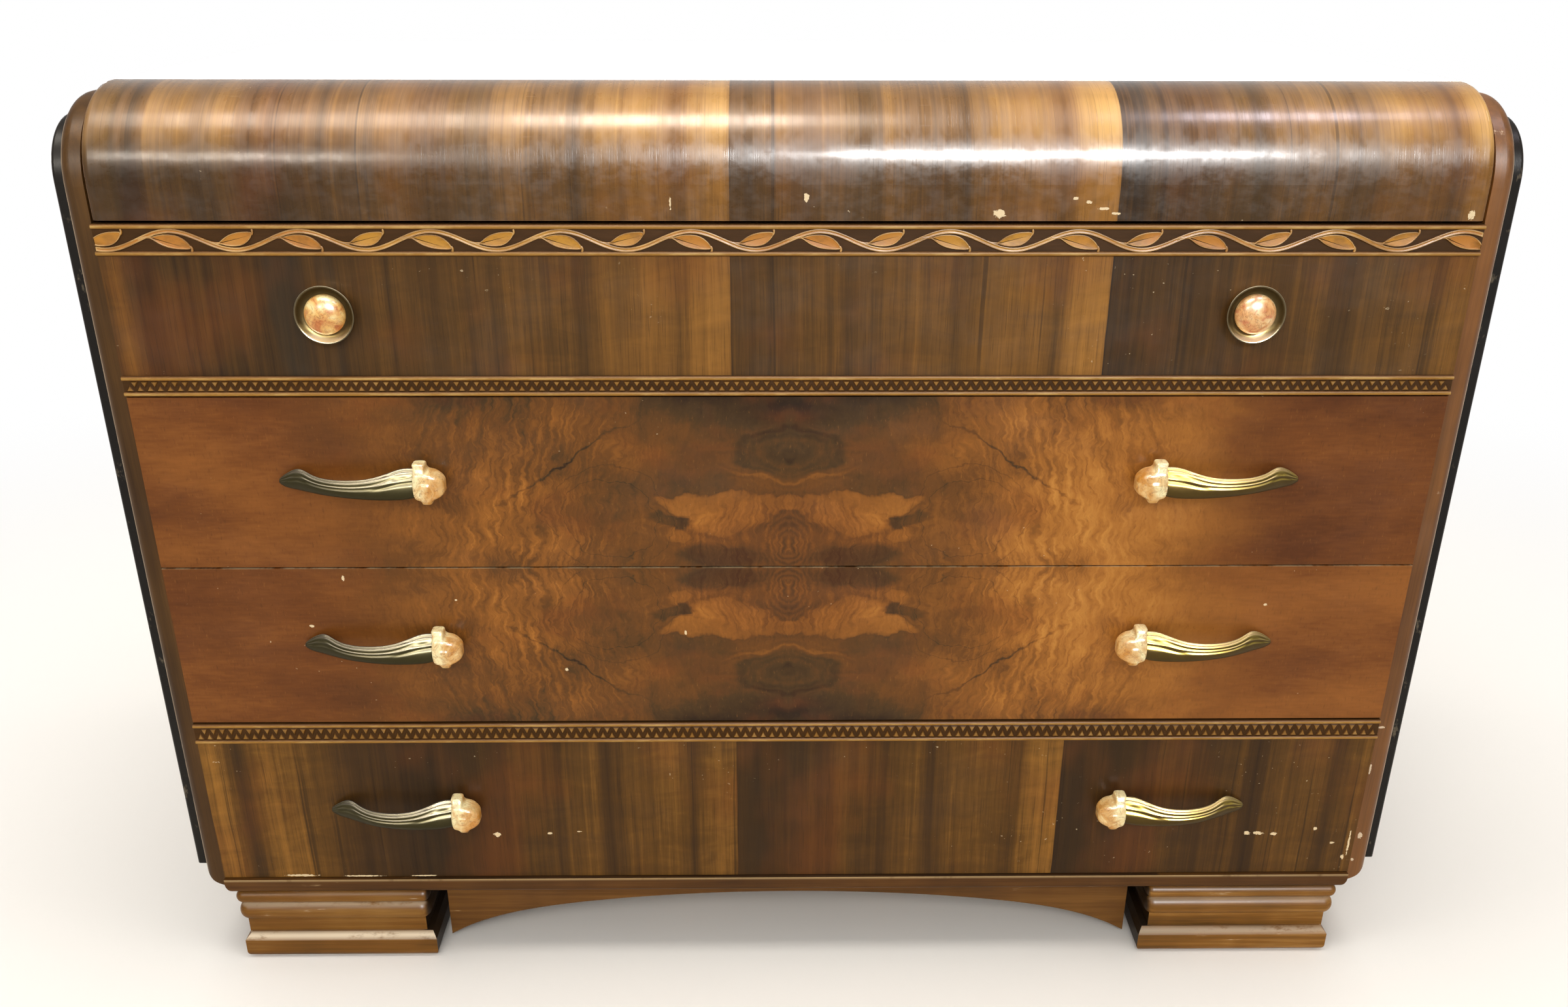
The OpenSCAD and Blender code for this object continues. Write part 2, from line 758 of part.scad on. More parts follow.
drawer_back(3);  // drawer_3_back
drawer_bottom(3);  // drawer_3_bottom
drawer_front(4);  // drawer_4_front
drawer_sides(4);  // drawer_4_sides
drawer_back(4);  // drawer_4_back
drawer_bottom(4);  // drawer_4_bottom
vine_moulding();
chip_moulding_1();
chip_moulding_4();
knob_cup(-1);  // knob_cup_left
knob_cup(1);  // knob_cup_right
knob_stone(-1);  // knob_stone_left
knob_stone(1);  // knob_stone_right
knob_screws();
pull_bar(2, -1);  // pull_bar_2_left
pull_bar(2, 1);  // pull_bar_2_right
pull_bar(3, -1);  // pull_bar_3_left
pull_bar(3, 1);  // pull_bar_3_right
pull_bar(4, -1);  // pull_bar_4_left
pull_bar(4, 1);  // pull_bar_4_right
pull_cap(2, -1);  // pull_cap_2_left
pull_cap(2, 1);  // pull_cap_2_right
pull_cap(3, -1);  // pull_cap_3_left
pull_cap(3, 1);  // pull_cap_3_right
pull_cap(4, -1);  // pull_cap_4_left
pull_cap(4, 1);  // pull_cap_4_right
pull_screws(2);  // pull_screws_2
pull_screws(3);  // pull_screws_3
pull_screws(4);  // pull_screws_4
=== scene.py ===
"""Looks of the waterfall dresser: carved, turned and cast pieces, finishes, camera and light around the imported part."""

import logging
import math
from dataclasses import dataclass, field
from enum import Enum
from typing import Callable, Iterable, Optional, Sequence, Union

import bmesh
import bpy
from mathutils import Matrix, Vector


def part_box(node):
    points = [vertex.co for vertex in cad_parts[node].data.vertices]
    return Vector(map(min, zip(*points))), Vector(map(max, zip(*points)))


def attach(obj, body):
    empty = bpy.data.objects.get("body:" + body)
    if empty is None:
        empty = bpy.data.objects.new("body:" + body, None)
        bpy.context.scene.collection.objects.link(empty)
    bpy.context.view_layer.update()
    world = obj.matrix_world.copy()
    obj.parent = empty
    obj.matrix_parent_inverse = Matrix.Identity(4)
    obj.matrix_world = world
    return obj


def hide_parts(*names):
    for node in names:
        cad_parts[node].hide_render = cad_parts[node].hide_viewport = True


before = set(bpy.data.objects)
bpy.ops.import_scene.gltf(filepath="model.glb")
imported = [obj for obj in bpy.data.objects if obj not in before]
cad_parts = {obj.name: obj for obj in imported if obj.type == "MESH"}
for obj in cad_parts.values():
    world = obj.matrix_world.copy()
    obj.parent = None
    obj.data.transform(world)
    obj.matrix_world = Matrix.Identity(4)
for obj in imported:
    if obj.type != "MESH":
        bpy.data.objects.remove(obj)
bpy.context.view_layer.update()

logging.basicConfig(level=logging.INFO, format="%(message)s")
log = logging.getLogger("dresser")

MM = 0.001
Colour = str  # six hexadecimal digits of sRGB, such as "5e4428"
Tint = tuple[float, float, float]  # linear red, green and blue
Point = tuple[float, float, float]  # x, y and z
Pair = tuple[float, float]  # a place in a plane, a width and height, or a radius and height
Chip = tuple[float, float, float, float]  # place and half sizes of a chip, in metres

# How far the ground of each carving stands out of the drawer face.
VINE_GROUND = 0.0009
CHIP_GROUND = 0.0010


class Side(Enum):
    """Which half of the dresser a piece is on, as seen from the front."""

    LEFT = -1
    RIGHT = 1

    @property
    def word(self) -> str:
        """The side's name as the nodes spell it."""
        return self.name.lower()


class Metal(Enum):
    """How the cast metal of a pull or knob has aged."""

    DARK = "dark_bronze"
    BRIGHT = "bright_brass"
    AGED = "aged_brass"


def linear(colour: Colour) -> Tint:
    """Turn a written sRGB colour into the linear values that shaders take.

    Args:
        colour: the written colour.

    Returns:
        The linear red, green and blue.
    """
    parts = [int(colour[i : i + 2], 16) / 255 for i in (0, 2, 4)]
    return tuple(p / 12.92 if p <= 0.04045 else ((p + 0.055) / 1.055) ** 2.4 for p in parts)


# ---- Shader expressions ----


Number = Union["Val", float, int]


class Val:
    """A number socket on which Python's operators add Math nodes."""

    def __init__(self, bench: "Bench", socket: bpy.types.NodeSocket) -> None:
        """Wrap a socket.

        Args:
            bench: the bench on which further nodes are laid.
            socket: the output socket that holds the number.
        """
        self.bench = bench
        self.socket = socket

    def _math(self, operation: str, first: Number, second: Optional[Number] = None) -> "Val":
        """Add one Math node.

        Args:
            operation: the node's operation.
            first: its first value.
            second: its second value, if it takes one.

        Returns:
            The node's result.
        """
        values = {0: first} if second is None else {0: first, 1: second}
        return self.bench.value("ShaderNodeMath", {"operation": operation}, values)

    def __add__(self, other: Number) -> "Val":
        """Add."""
        return self._math("ADD", self, other)

    __radd__ = __add__

    def __sub__(self, other: Number) -> "Val":
        """Subtract."""
        return self._math("SUBTRACT", self, other)

    def __rsub__(self, other: Number) -> "Val":
        """Subtract from a plain number."""
        return self._math("SUBTRACT", other, self)

    def __mul__(self, other: Number) -> "Val":
        """Multiply."""
        return self._math("MULTIPLY", self, other)

    __rmul__ = __mul__

    def __truediv__(self, other: Number) -> "Val":
        """Divide."""
        return self._math("DIVIDE", self, other)

    def __neg__(self) -> "Val":
        """Change the sign."""
        return self._math("MULTIPLY", self, -1.0)

    def __abs__(self) -> "Val":
        """Drop the sign."""
        return self._math("ABSOLUTE", self)

    def over(self, limit: Number) -> "Val":
        """Return 1 where the value is over a limit, else 0."""
        return self._math("GREATER_THAN", self, limit)

    def sine(self) -> "Val":
        """Take the sine."""
        return self._math("SINE", self)

    def root(self) -> "Val":
        """Take the square root."""
        return self._math("SQRT", self)

    def most(self, other: Number) -> "Val":
        """Take the larger of two values."""
        return self._math("MAXIMUM", self, other)

    def ease(self, low: float, high: float) -> "Val":
        """Rise smoothly from 0 at one value to 1 at another, which may be the lower one."""
        first, last = (1.0, 0.0) if low > high else (0.0, 1.0)
        values = {"Value": self, "From Min": min(low, high), "From Max": max(low, high), "To Min": first,
                  "To Max": last}
        return self.bench.value("ShaderNodeMapRange", {"interpolation_type": "SMOOTHSTEP"}, values)

    def near(self, place: float, reach: float) -> "Val":
        """Return 1 at a place, falling smoothly to 0 at a reach on either side."""
        return abs(self - place).ease(reach, 0.0)


Socket = Union[Val, bpy.types.NodeSocket]
Paint = Union[Colour, Socket]

MIX_SHARE, MIX_FIRST, MIX_SECOND, MIX_RESULT = 0, 6, 7, 2  # the Mix node's sockets for colours


class Bench:
    """The bench on which one material's nodes are laid out."""

    def __init__(self, name: str) -> None:
        """Start a material with an empty Principled shader.

        Args:
            name: the material's name.
        """
        self.material = bpy.data.materials.new(name)
        self.material.use_nodes = True
        self.tree = self.material.node_tree
        self.shader = self.tree.nodes["Principled BSDF"]
        self.x, self.y, self.z = self.split(self.node("ShaderNodeTexCoord").outputs["Object"])

    def node(self, kind: str, settings: Optional[dict] = None, values: Optional[dict] = None) -> bpy.types.Node:
        """Add any node.

        Args:
            kind: the node's type.
            settings: its properties, set first; "stops" fills a colour ramp.
            values: numbers, colours, vectors or links by input name or place.

        Returns:
            The node.
        """
        made = self.tree.nodes.new(kind)
        for key, setting in (settings or {}).items():
            if key == "stops":
                ramp = made.color_ramp
                while len(ramp.elements) < len(setting):
                    ramp.elements.new(0.5)
                for element, (where, shade) in zip(ramp.elements, setting):
                    element.position = where
                    element.color = (*(linear(shade) if isinstance(shade, str) else (shade,) * 3), 1.0)
            else:
                setattr(made, key, setting)
        for key, value in (values or {}).items():
            self.feed(made.inputs[key], value)
        return made

    def split(self, vector: bpy.types.NodeSocket) -> tuple[Val, Val, Val]:
        """Return the three parts of a vector."""
        parts = self.node("ShaderNodeSeparateXYZ", None, {0: vector}).outputs
        return Val(self, parts[0]), Val(self, parts[1]), Val(self, parts[2])

    def facing(self) -> tuple[Val, Val, Val]:
        """Return the three parts of the direction that the surface faces."""
        return self.split(self.node("ShaderNodeNewGeometry").outputs["Normal"])

    def feed(self, target: bpy.types.NodeSocket, value: Union[Paint, float, Tint]) -> None:
        """Link or set one input socket.

        Args:
            target: the input.
            value: a wrapped or plain socket to link, or a number, a written colour or a linear one to set.
        """
        if isinstance(value, Val):
            self.tree.links.new(value.socket, target)
        elif isinstance(value, bpy.types.NodeSocket):
            self.tree.links.new(value, target)
        elif isinstance(value, (int, float)):
            target.default_value = value
        else:
            target.default_value = (*(linear(value) if isinstance(value, str) else value), 1.0)

    def value(self, kind: str, settings: dict, values: dict) -> Val:
        """Add a node and wrap its first output, which is a number."""
        return Val(self, self.node(kind, settings, values).outputs[0])

    def vector(self, x: Number, y: Number, z: Number) -> bpy.types.NodeSocket:
        """Join three numbers to a vector."""
        return self.node("ShaderNodeCombineXYZ", None, {0: x, 1: y, 2: z}).outputs[0]

    def noise(
        self, x: Number, y: Number, z: Number = 0.0, detail: float = 3.0, rough: float = 0.5, warp: float = 0.0
    ) -> Val:
        """Add noise on three coordinates that are already scaled.

        Args:
            x: first coordinate.
            y: second coordinate.
            z: third coordinate, also used as a seed.
            detail: number of octaves.
            rough: strength of the finer octaves.
            warp: distortion.

        Returns:
            The noise, from 0 to 1.
        """
        values = {"Vector": self.vector(x, y, z), "Scale": 1.0, "Detail": detail, "Roughness": rough,
                  "Distortion": warp}
        return self.value("ShaderNodeTexNoise", {"noise_dimensions": "3D"}, values)

    def tone(self, value: Val, stops: Sequence[tuple[float, float]]) -> Val:
        """Shape a number through a grey ramp of given stops."""
        return Val(self, self.node("ShaderNodeValToRGB", {"stops": stops}, {0: value}).outputs[0])

    def ramp(self, value: Val, stops: Sequence[tuple[float, Colour]]) -> bpy.types.NodeSocket:
        """Turn a number into a colour through a ramp."""
        return self.node("ShaderNodeValToRGB", {"stops": stops}, {0: value}).outputs[0]

    def mix(self, share: Number, first: Paint, second: Paint) -> bpy.types.NodeSocket:
        """Mix two colours.

        Args:
            share: how much of the second is taken, 0 to 1.
            first: the colour below.
            second: the colour above.

        Returns:
            The mixed colour's socket.
        """
        settings = {"data_type": "RGBA", "blend_type": "MIX", "clamp_factor": True}
        made = self.node("ShaderNodeMix", settings, {MIX_SHARE: share, MIX_FIRST: first, MIX_SECOND: second})
        return made.outputs[MIX_RESULT]

    def radius(self, u: Val, v: Val, at: Pair, reach: Pair) -> Val:
        """Return how far out of an ellipse's middle a place is, with 1 on its outline."""
        du = (u - at[0]) / reach[0]
        dv = (v - at[1]) / reach[1]
        return (du * du + dv * dv).root()

    def blob(self, u: Val, v: Val, at: Pair, reach: Pair, soft: float = 0.5) -> Val:
        """Mask a soft-edged ellipse.

        Args:
            u: first coordinate.
            v: second coordinate.
            at: its middle.
            reach: its half axes.
            soft: share of the radius over which it fades.

        Returns:
            1 inside, 0 outside.
        """
        return self.radius(u, v, at, reach).ease(1.0 + soft / 2, 1.0 - soft / 2)

    def flecks(self, u: Val, v: Val, spots: Iterable[Chip], rag: Val) -> Val:
        """Mask small ragged chips at given places.

        Args:
            u: first coordinate, in metres.
            v: second coordinate, in metres.
            spots: place and half sizes of each chip.
            rag: noise that eats into their outlines.

        Returns:
            1 on a chip, 0 elsewhere.
        """
        total: Optional[Val] = None
        for cu, cv, ru, rv in spots:
            one = self.blob(u, v, (cu, cv), (ru * 0.8, rv * 0.8), 1.6)
            total = one if total is None else total.most(one)
        # The noise eats into the soft rim of each ellipse, and what is left over a level is chip.
        return (total - rag * 1.9 + 0.42).ease(0.0, 0.06)

    def bump(self, height: Val, depth: float, strength: float = 1.0) -> bpy.types.NodeSocket:
        """Turn a height of 0 to 1 into a bumped normal of a real depth in metres."""
        return self.node("ShaderNodeBump", None, {"Strength": strength, "Distance": depth, "Height": height}).outputs[0]

    def finish(self, **values: Union[Paint, float]) -> bpy.types.Material:
        """Set the shader's sockets, with underscores for spaces in their names.

        Args:
            **values: socket name to number, colour or link.

        Returns:
            The finished material.
        """
        names = {"base": "Base Color", "rough": "Roughness", "metal": "Metallic", "coat": "Coat Weight",
                 "coat_rough": "Coat Roughness", "specular": "Specular IOR Level", "normal": "Normal"}
        for key, value in values.items():
            self.feed(self.shader.inputs[names[key]], value)
        return self.material


# ---- Finishes ----


@dataclass(frozen=True)
class StraightVeneer:
    """Straight-grained walnut laid in slip-matched leaves, dark at a leaf's left edge and amber at its right.

    The tones across a leaf are given over the width of the profile. The left end, the third leaf and a gold
    line near the left end each add to them. Where flat_z is set, the piece is the top, with painted light that makes
    its roll paler and with wax on its flat; where edge_x is set, its ends are rubbed.
    """

    name: str
    seams: tuple[float, ...] = (-0.050, 0.260)
    leaf: float = 0.310
    dark: Colour = "2c1d0b"
    brown: Colour = "4e3413"
    tan: Colour = "6e491a"
    amber: Colour = "936428"
    smoke: Colour = "30271a"
    bare: Colour = "d8c096"
    rough: float = 0.36
    specular: float = 0.09
    seed: float = 0.0
    profile: float = 0.52
    tones: tuple[Pair, ...] = (
        (0.0, 0.80), (0.06, 0.74), (0.085, 0.50), (0.10, 0.70), (0.19, 0.62), (0.235, 0.30), (0.26, 0.55),
        (0.36, 0.46), (0.47, 0.34), (0.59, 0.24), (0.66, 0.16), (0.72, 0.30), (0.80, 0.50), (0.87, 0.58),
        (0.905, 0.22), (0.94, 0.72), (1.0, 0.60),
    )
    left: float = -0.34
    third: float = -0.14
    gold: float = 0.45
    flat_z: float = 0.0
    edge_x: float = 0.0
    chips: tuple[Chip, ...] = ()

    def make(self) -> bpy.types.Material:
        """Build the material.

        Returns:
            The veneer's material.
        """
        b = Bench(self.name)
        along = b.z - b.y  # the grain runs up a front and on round the roll
        wander = b.noise(b.x * 6, along * 5, self.seed, 3) - 0.5
        x = b.x + wander * 0.007
        cut = b.x + (b.noise(3.0, along * 16, self.seed, 3) - 0.5) * 0.0020
        past_1, past_2 = cut.over(self.seams[0]), cut.over(self.seams[1])
        w = (past_1 + past_2) * self.leaf + self.seams[0] - x
        slip = past_1 * 0.7 + past_2 * 0.9
        tone = b.tone(w / self.profile, self.tones)
        tone = tone + b.x.ease(-0.37, -0.47) * self.left + past_2 * self.third
        tone = tone + (past_1 - past_2) * w.ease(0.055, 0.0) * 0.18 + b.x.near(-0.545, 0.010) * self.gold
        broad = b.noise(w * 32, along * 1.3, self.seed + slip, 3, 0.55) - 0.5
        streak = b.noise(w * 120, along * 2.4, self.seed + 3 + slip * 0.3, 3, 0.6) - 0.5
        line = b.noise(w * 380, along * 4.0, self.seed + 4 + slip * 0.3, 2, 0.6) - 0.5
        fibre = b.noise(w * 1000, along * 22, self.seed + 5, 3, 0.65)
        curl = b.noise(w * 26 + along * 9, along * 62, self.seed + 9, 3, 0.6, 0.6) - 0.5
        level = tone * 0.72 + 0.12 + broad * 0.50 + streak * 0.46 + line * 0.26 + (fibre - 0.5) * 0.16
        level = level + curl * (tone * 0.34 + 0.06)
        colour = b.ramp(level, [(0.10, self.dark), (0.38, self.brown), (0.62, self.tan), (0.95, self.amber)])
        if self.flat_z:  # painted light: the roll is painted paler towards the flat as if lit from above, less so on the flat itself and more at its ends
            upper = b.z.ease(self.flat_z - 0.064, self.flat_z - 0.028)
            upper = upper * (1.0 - b.z.ease(self.flat_z - 0.018, self.flat_z - 0.003) * 0.45)
            ends = b.x.ease(-0.30, -0.48) * 0.20 + b.x.ease(0.28, 0.50) * 0.12
            painted_lit_tone = b.ramp(level + ends, [(0.14, "4a3826"), (0.38, "825e38"), (0.60, "aa7e46"), (0.90, "cea05c")])
            colour = b.mix(upper * 0.82, colour, painted_lit_tone)
        smoke = b.noise(w * 24, along * 1.6, self.seed + 12, 3, 0.6).ease(0.50, 0.68) * (1.0 - tone)
        colour = b.mix(smoke * 0.75, colour, self.smoke)
        red = b.noise(w * 9, along * 6, self.seed + 14, 3, 0.6).ease(0.46, 0.70)
        colour = b.mix(red * 0.30, colour, "7a4218")
        thread = b.noise(w * 170, along * 1.5, self.seed + 18 + slip, 2, 0.5).ease(0.665, 0.72)
        colour = b.mix(thread * 0.55, colour, self.dark)
        vessel = b.noise(w * 1500, along * 30, self.seed + 15, 2, 0.5).ease(0.57, 0.68)
        colour = b.mix(vessel * 0.34, colour, self.dark)
        seam = abs(cut - self.seams[0]).ease(0.0010, 0.0).most(abs(cut - self.seams[1]).ease(0.0010, 0.0))
        colour = b.mix(seam * 0.45, colour, "241609")
        # Wear: crowds of small spots, the chips, dull places and scratches.
        rag = b.noise(b.x * 420, along * 420, self.seed + 21, 3, 0.7)
        crowd = b.noise(b.x * 7, along * 9, self.seed + 27, 2, 0.5).ease(0.50, 0.66)
        chip = b.noise(b.x * 260, along * 290, self.seed + 25, 2, 0.5).ease(0.722, 0.765) * crowd * 0.60
        if self.chips:
            chip = b.flecks(b.x, along, self.chips, rag).most(chip)
        colour = b.mix(chip, colour, self.bare)
        dull = b.noise(b.x * 11, along * 15, self.seed + 31, 4, 0.7).ease(0.42, 0.72)
        scratch = b.noise(b.x * 22, along * 700, self.seed + 33, 2, 0.6).ease(0.66, 0.74)
        wave = b.noise(b.x * 30, along * 26, self.seed + 35, 2, 0.5)
        rough = self.rough + dull * 0.14 + chip * 0.3 + scratch * 0.08
        height = fibre * 0.05 - vessel * 0.06 - chip * 0.3 + wave * 0.6 - seam * 0.1
        coat: Union[Val, float] = 0.0
        if self.flat_z:
            blotch = b.noise(b.x * 55, along * 80, self.seed + 43, 3, 0.65).ease(0.38, 0.66)
            rough = rough + blotch * 0.16
            coat = b.z.ease(self.flat_z - 0.012, self.flat_z - 0.001) * 0.92 + 0.08
            height = height + wave * 0.5 + b.noise(b.x * 110, along * 90, self.seed + 37, 3, 0.6) * 0.20
        if self.edge_x:
            rim = abs(b.x).ease(self.edge_x - 0.0022, self.edge_x - 0.0008)
            rim = rim * b.noise(1.0, along * 24, self.seed + 41, 3, 0.6).ease(0.30, 0.55)
            colour = b.mix(rim * 0.6, colour, "b89478")
        return b.finish(base=colour, rough=rough, normal=b.bump(height, 0.0007, 0.5), specular=self.specular,
                        coat=coat, coat_rough=0.17)


@dataclass(frozen=True)
class BurlVeneer:
    """Book-matched burl: sheets mirrored about the middle and about the line between two drawers.

    Places in it are given as the distance from the middle and the distance from the line, in metres. Each cloud has
    its place, its half sizes, its softness and what it adds to the tone.
    """

    name: str
    line: float
    middle: float = -0.0015
    dark: Colour = "2a1a0a"
    smoke: Colour = "453016"
    brown: Colour = "653e17"
    orange: Colour = "82501d"
    gold: Colour = "a06628"
    tan: Colour = "b67b36"
    bare: Colour = "d8c096"
    clouds: tuple[tuple[Pair, Pair, float, float], ...] = (
        ((0.300, 0.070), (0.130, 0.080), 1.3, 0.15), ((0.0, 0.175), (0.150, 0.042), 1.0, -0.27),
        ((0.150, 0.052), (0.044, 0.034), 1.0, -0.07), ((0.062, 0.010), (0.036, 0.011), 0.7, -0.25),
        ((0.260, 0.160), (0.060, 0.026), 1.0, -0.16),
    )
    chips: tuple[Chip, ...] = (
        (-0.398, 0.424, 0.0016, 0.0036), (-0.432, 0.376, 0.0026, 0.0020), (-0.205, 0.330, 0.0024, 0.0018),
        (-0.095, 0.368, 0.0015, 0.0026), (0.430, 0.395, 0.0022, 0.0015), (-0.300, 0.402, 0.0015, 0.0012),
    )

    def make(self) -> bpy.types.Material:
        """Build the material.

        Returns:
            The burl's material.
        """
        b = Bench(self.name)
        drift = b.noise(b.x * 8, b.z * 10, 3.0, 3) - 0.5
        u0 = abs(b.x - self.middle + drift * 0.003)
        v0 = abs(b.z - self.line + drift * 0.004)
        upper = b.z.over(self.line)
        u = u0 + (b.noise(u0 * 17, v0 * 22, 1.0, 4, 0.6) - 0.5) * 0.042
        v = v0 + (b.noise(u0 * 17, v0 * 22, 7.0, 4, 0.6) - 0.5) * 0.034
        cloud = b.noise(u * 9, v * 15, 11.0, 5, 0.62) - 0.5
        curl = b.noise(u * 190 + v * 34 + cloud * 5, v * 24 - u * 6, 13.0, 3, 0.6, 0.4) - 0.5
        ripple = b.noise(u * 330 + v * 20, v * 42, 15.0, 2, 0.6) - 0.5
        outer = u.near(0.235, 0.15)  # where the curls are strongest
        level = cloud * 0.84 + 0.50 + curl * (outer * 0.54 + 0.13) + ripple * (outer * 0.20 + 0.10)
        for place, reach, soft, added in self.clouds:
            level = level + b.blob(u, v, place, reach, soft) * added
        # Darker in the middle, and a painted sheen: paler towards the right and darker towards the left.
        level = level - u.ease(0.19, 0.09) * 0.06
        level = level + b.x.ease(0.02, 0.26) * 0.12 - b.x.ease(-0.10, -0.30) * 0.11
        eye = self._eye(b, u, v)
        patch = self._patch(b, u, v)
        level = level + eye + patch
        # The flame that rises from the line in the middle, with its tongues and hoops.
        flame = b.blob(u, v, (0.0, 0.028), (0.095, 0.042), 0.8)
        tongues = b.noise(u * 230, v * 26 + u * 20, 41.0, 3, 0.6, 0.5) - 0.5
        hoop = ((u * u * 1.8 + (v - 0.022) * (v - 0.022)).root() * 900).sine()
        hoop = hoop * b.blob(u, v, (0.0, 0.022), (0.022, 0.030), 0.9)
        level = level + tongues * flame * 0.60 - flame * 0.05 + hoop * 0.08
        vein = self._veins(b, u, v)
        level = level - vein * 0.30
        colour = b.ramp(level, [
            (0.08, self.dark), (0.28, self.smoke), (0.48, self.brown), (0.64, self.orange), (0.80, self.gold),
            (0.98, self.tan),
        ])
        red = b.noise(u * 12, v * 16, 43.0, 3, 0.6).ease(0.50, 0.70).most(flame * 0.7)
        colour = b.mix(red * 0.26, colour, "763c16")
        # Plainer sheets at both ends, each with its own tone.
        ends = (u0 + drift * 0.05).ease(0.30, 0.45)
        plain = b.noise(b.x * 6, b.z * 16, 17.0, 4, 0.6) + (b.noise(b.x * 60, b.z * 340, 19.0, 2) - 0.5) * 0.24
        right = b.x.over(0.0)
        side = upper * 0.08 + right * 0.12 - upper * right * 0.30
        sheet = b.ramp(plain + side, [(0.26, "4f280d"), (0.50, "6a3b14"), (0.78, "875120")])
        colour = b.mix(ends * 0.9, colour, sheet)
        fibre = b.noise(b.x * 520, b.z * 130, 23.0, 3, 0.65)
        colour = b.mix(fibre.ease(0.55, 0.75) * 0.30, colour, self.dark)
        colour = b.mix(fibre.ease(0.40, 0.25) * 0.16, colour, self.tan)
        rag = b.noise(b.x * 420, b.z * 420, 29.0, 3, 0.7)
        crowd = b.noise(b.x * 7, b.z * 8, 33.0, 2, 0.5).ease(0.52, 0.66)
        chip = b.noise(b.x * 260, b.z * 260, 31.0, 2, 0.5).ease(0.74, 0.775) * crowd * 0.6
        chip = b.flecks(b.x, b.z, self.chips, rag).most(chip)
        # The upper edge of the lower drawer is rubbed.
        edge = abs(b.z - self.line - 0.0008).ease(0.0022, 0.0010) * (1.0 - upper)
        worn = edge * b.noise(b.x * 30, 1.0, 3.0, 4, 0.7).ease(0.40, 0.56)
        colour = b.mix(chip.most(worn * 0.75), colour, self.bare)
        dull = b.noise(b.x * 9, b.z * 13, 37.0, 4, 0.7).ease(0.42, 0.75)
        wave = b.noise(b.x * 24, b.z * 24, 39.0, 2, 0.5)
        rough = dull * 0.13 + 0.30 + chip * 0.3
        height = fibre * 0.06 - chip * 0.3 + wave * 0.6
        return b.finish(base=colour, rough=rough, normal=b.bump(height, 0.0007, 0.45), specular=0.11)

    def _eye(self, b: Bench, u: Val, v: Val) -> Val:
        """Draw the dark lens-shaped eye, its rings and pupil, and the pale arcs under it.

        Args:
            b: the bench.
            u: warped distance from the middle.
            v: warped distance from the line between the drawers.

        Returns:
            What the eye adds to the tone.
        """
        r = b.radius(u, v, (0.0, 0.108), (0.046, 0.023))
        lid = r.near(1.0, 0.17)
        rings = (r * 15).sine() * r.ease(1.0, 0.7) * 0.035
        pupil = b.blob(u, v, (0.0, 0.105), (0.0075, 0.0075), 0.8)
        bow = v - u * u * 5.0
        arcs = ((bow * 900).sine() * 0.5 + 0.6) * bow.near(0.079, 0.011) * u.ease(0.066, 0.044)
        return arcs * 0.13 - r.ease(1.35, 0.70) * 0.11 - lid * 0.11 + rings - pupil * 0.14

    def _patch(self, b: Bench, u: Val, v: Val) -> Val:
        """Draw the golden bird-shaped patch with its dark edge and the dark leaf that bites into it.

        Args:
            b: the bench.
            u: warped distance from the middle.
            v: warped distance from the line between the drawers.

        Returns:
            What the patch adds to the tone.
        """
        feather = (b.noise(u * 120, v * 26, 51.0, 3, 0.6, 0.5) - 0.5) * 0.008
        v = v + feather + (b.noise(u * 38, v * 46, 53.0, 2) - 0.5) * 0.016
        wing = b.blob(u, v, (0.078, 0.066), (0.036, 0.0105), 0.75)
        body = b.blob(u, v, (0.054, 0.050), (0.034, 0.0185), 0.95)
        neck = b.blob(u, v, (0.018, 0.062), (0.030, 0.009), 0.8) * 0.7
        foot = b.blob(u, v, (0.095, 0.033), (0.016, 0.008), 0.7) * 0.5
        leaf = b.blob(u, v, (0.101, 0.047), (0.020, 0.0068), 0.45)
        shape = wing.most(body).most(neck).most(foot)
        rim = shape.near(0.30, 0.30)
        return shape * 0.25 * (1.0 - leaf) - leaf * 0.20 - rim * 0.10

    def _veins(self, b: Bench, u: Val, v: Val) -> Val:
        """Draw the thin dark lines that sweep outwards, and the fainter ones round the dark lobes.

        Args:
            b: the bench.
            u: warped distance from the middle.
            v: warped distance from the line between the drawers.

        Returns:
            1 on a line, 0 elsewhere.
        """
        run = u - 0.135
        late = (run - 0.090).most(0.0)
        long_line = abs(v - 0.136 + run * 0.62 + late * late * 10).ease(0.0020, 0.0) * u.near(0.195, 0.085)
        r = b.radius(u, v, (0.158, 0.046), (0.050, 0.043))
        lobe = abs((r * 11).sine()).ease(0.16, 0.0) * r.near(0.95, 0.6) * 0.5
        return long_line.most(lobe)


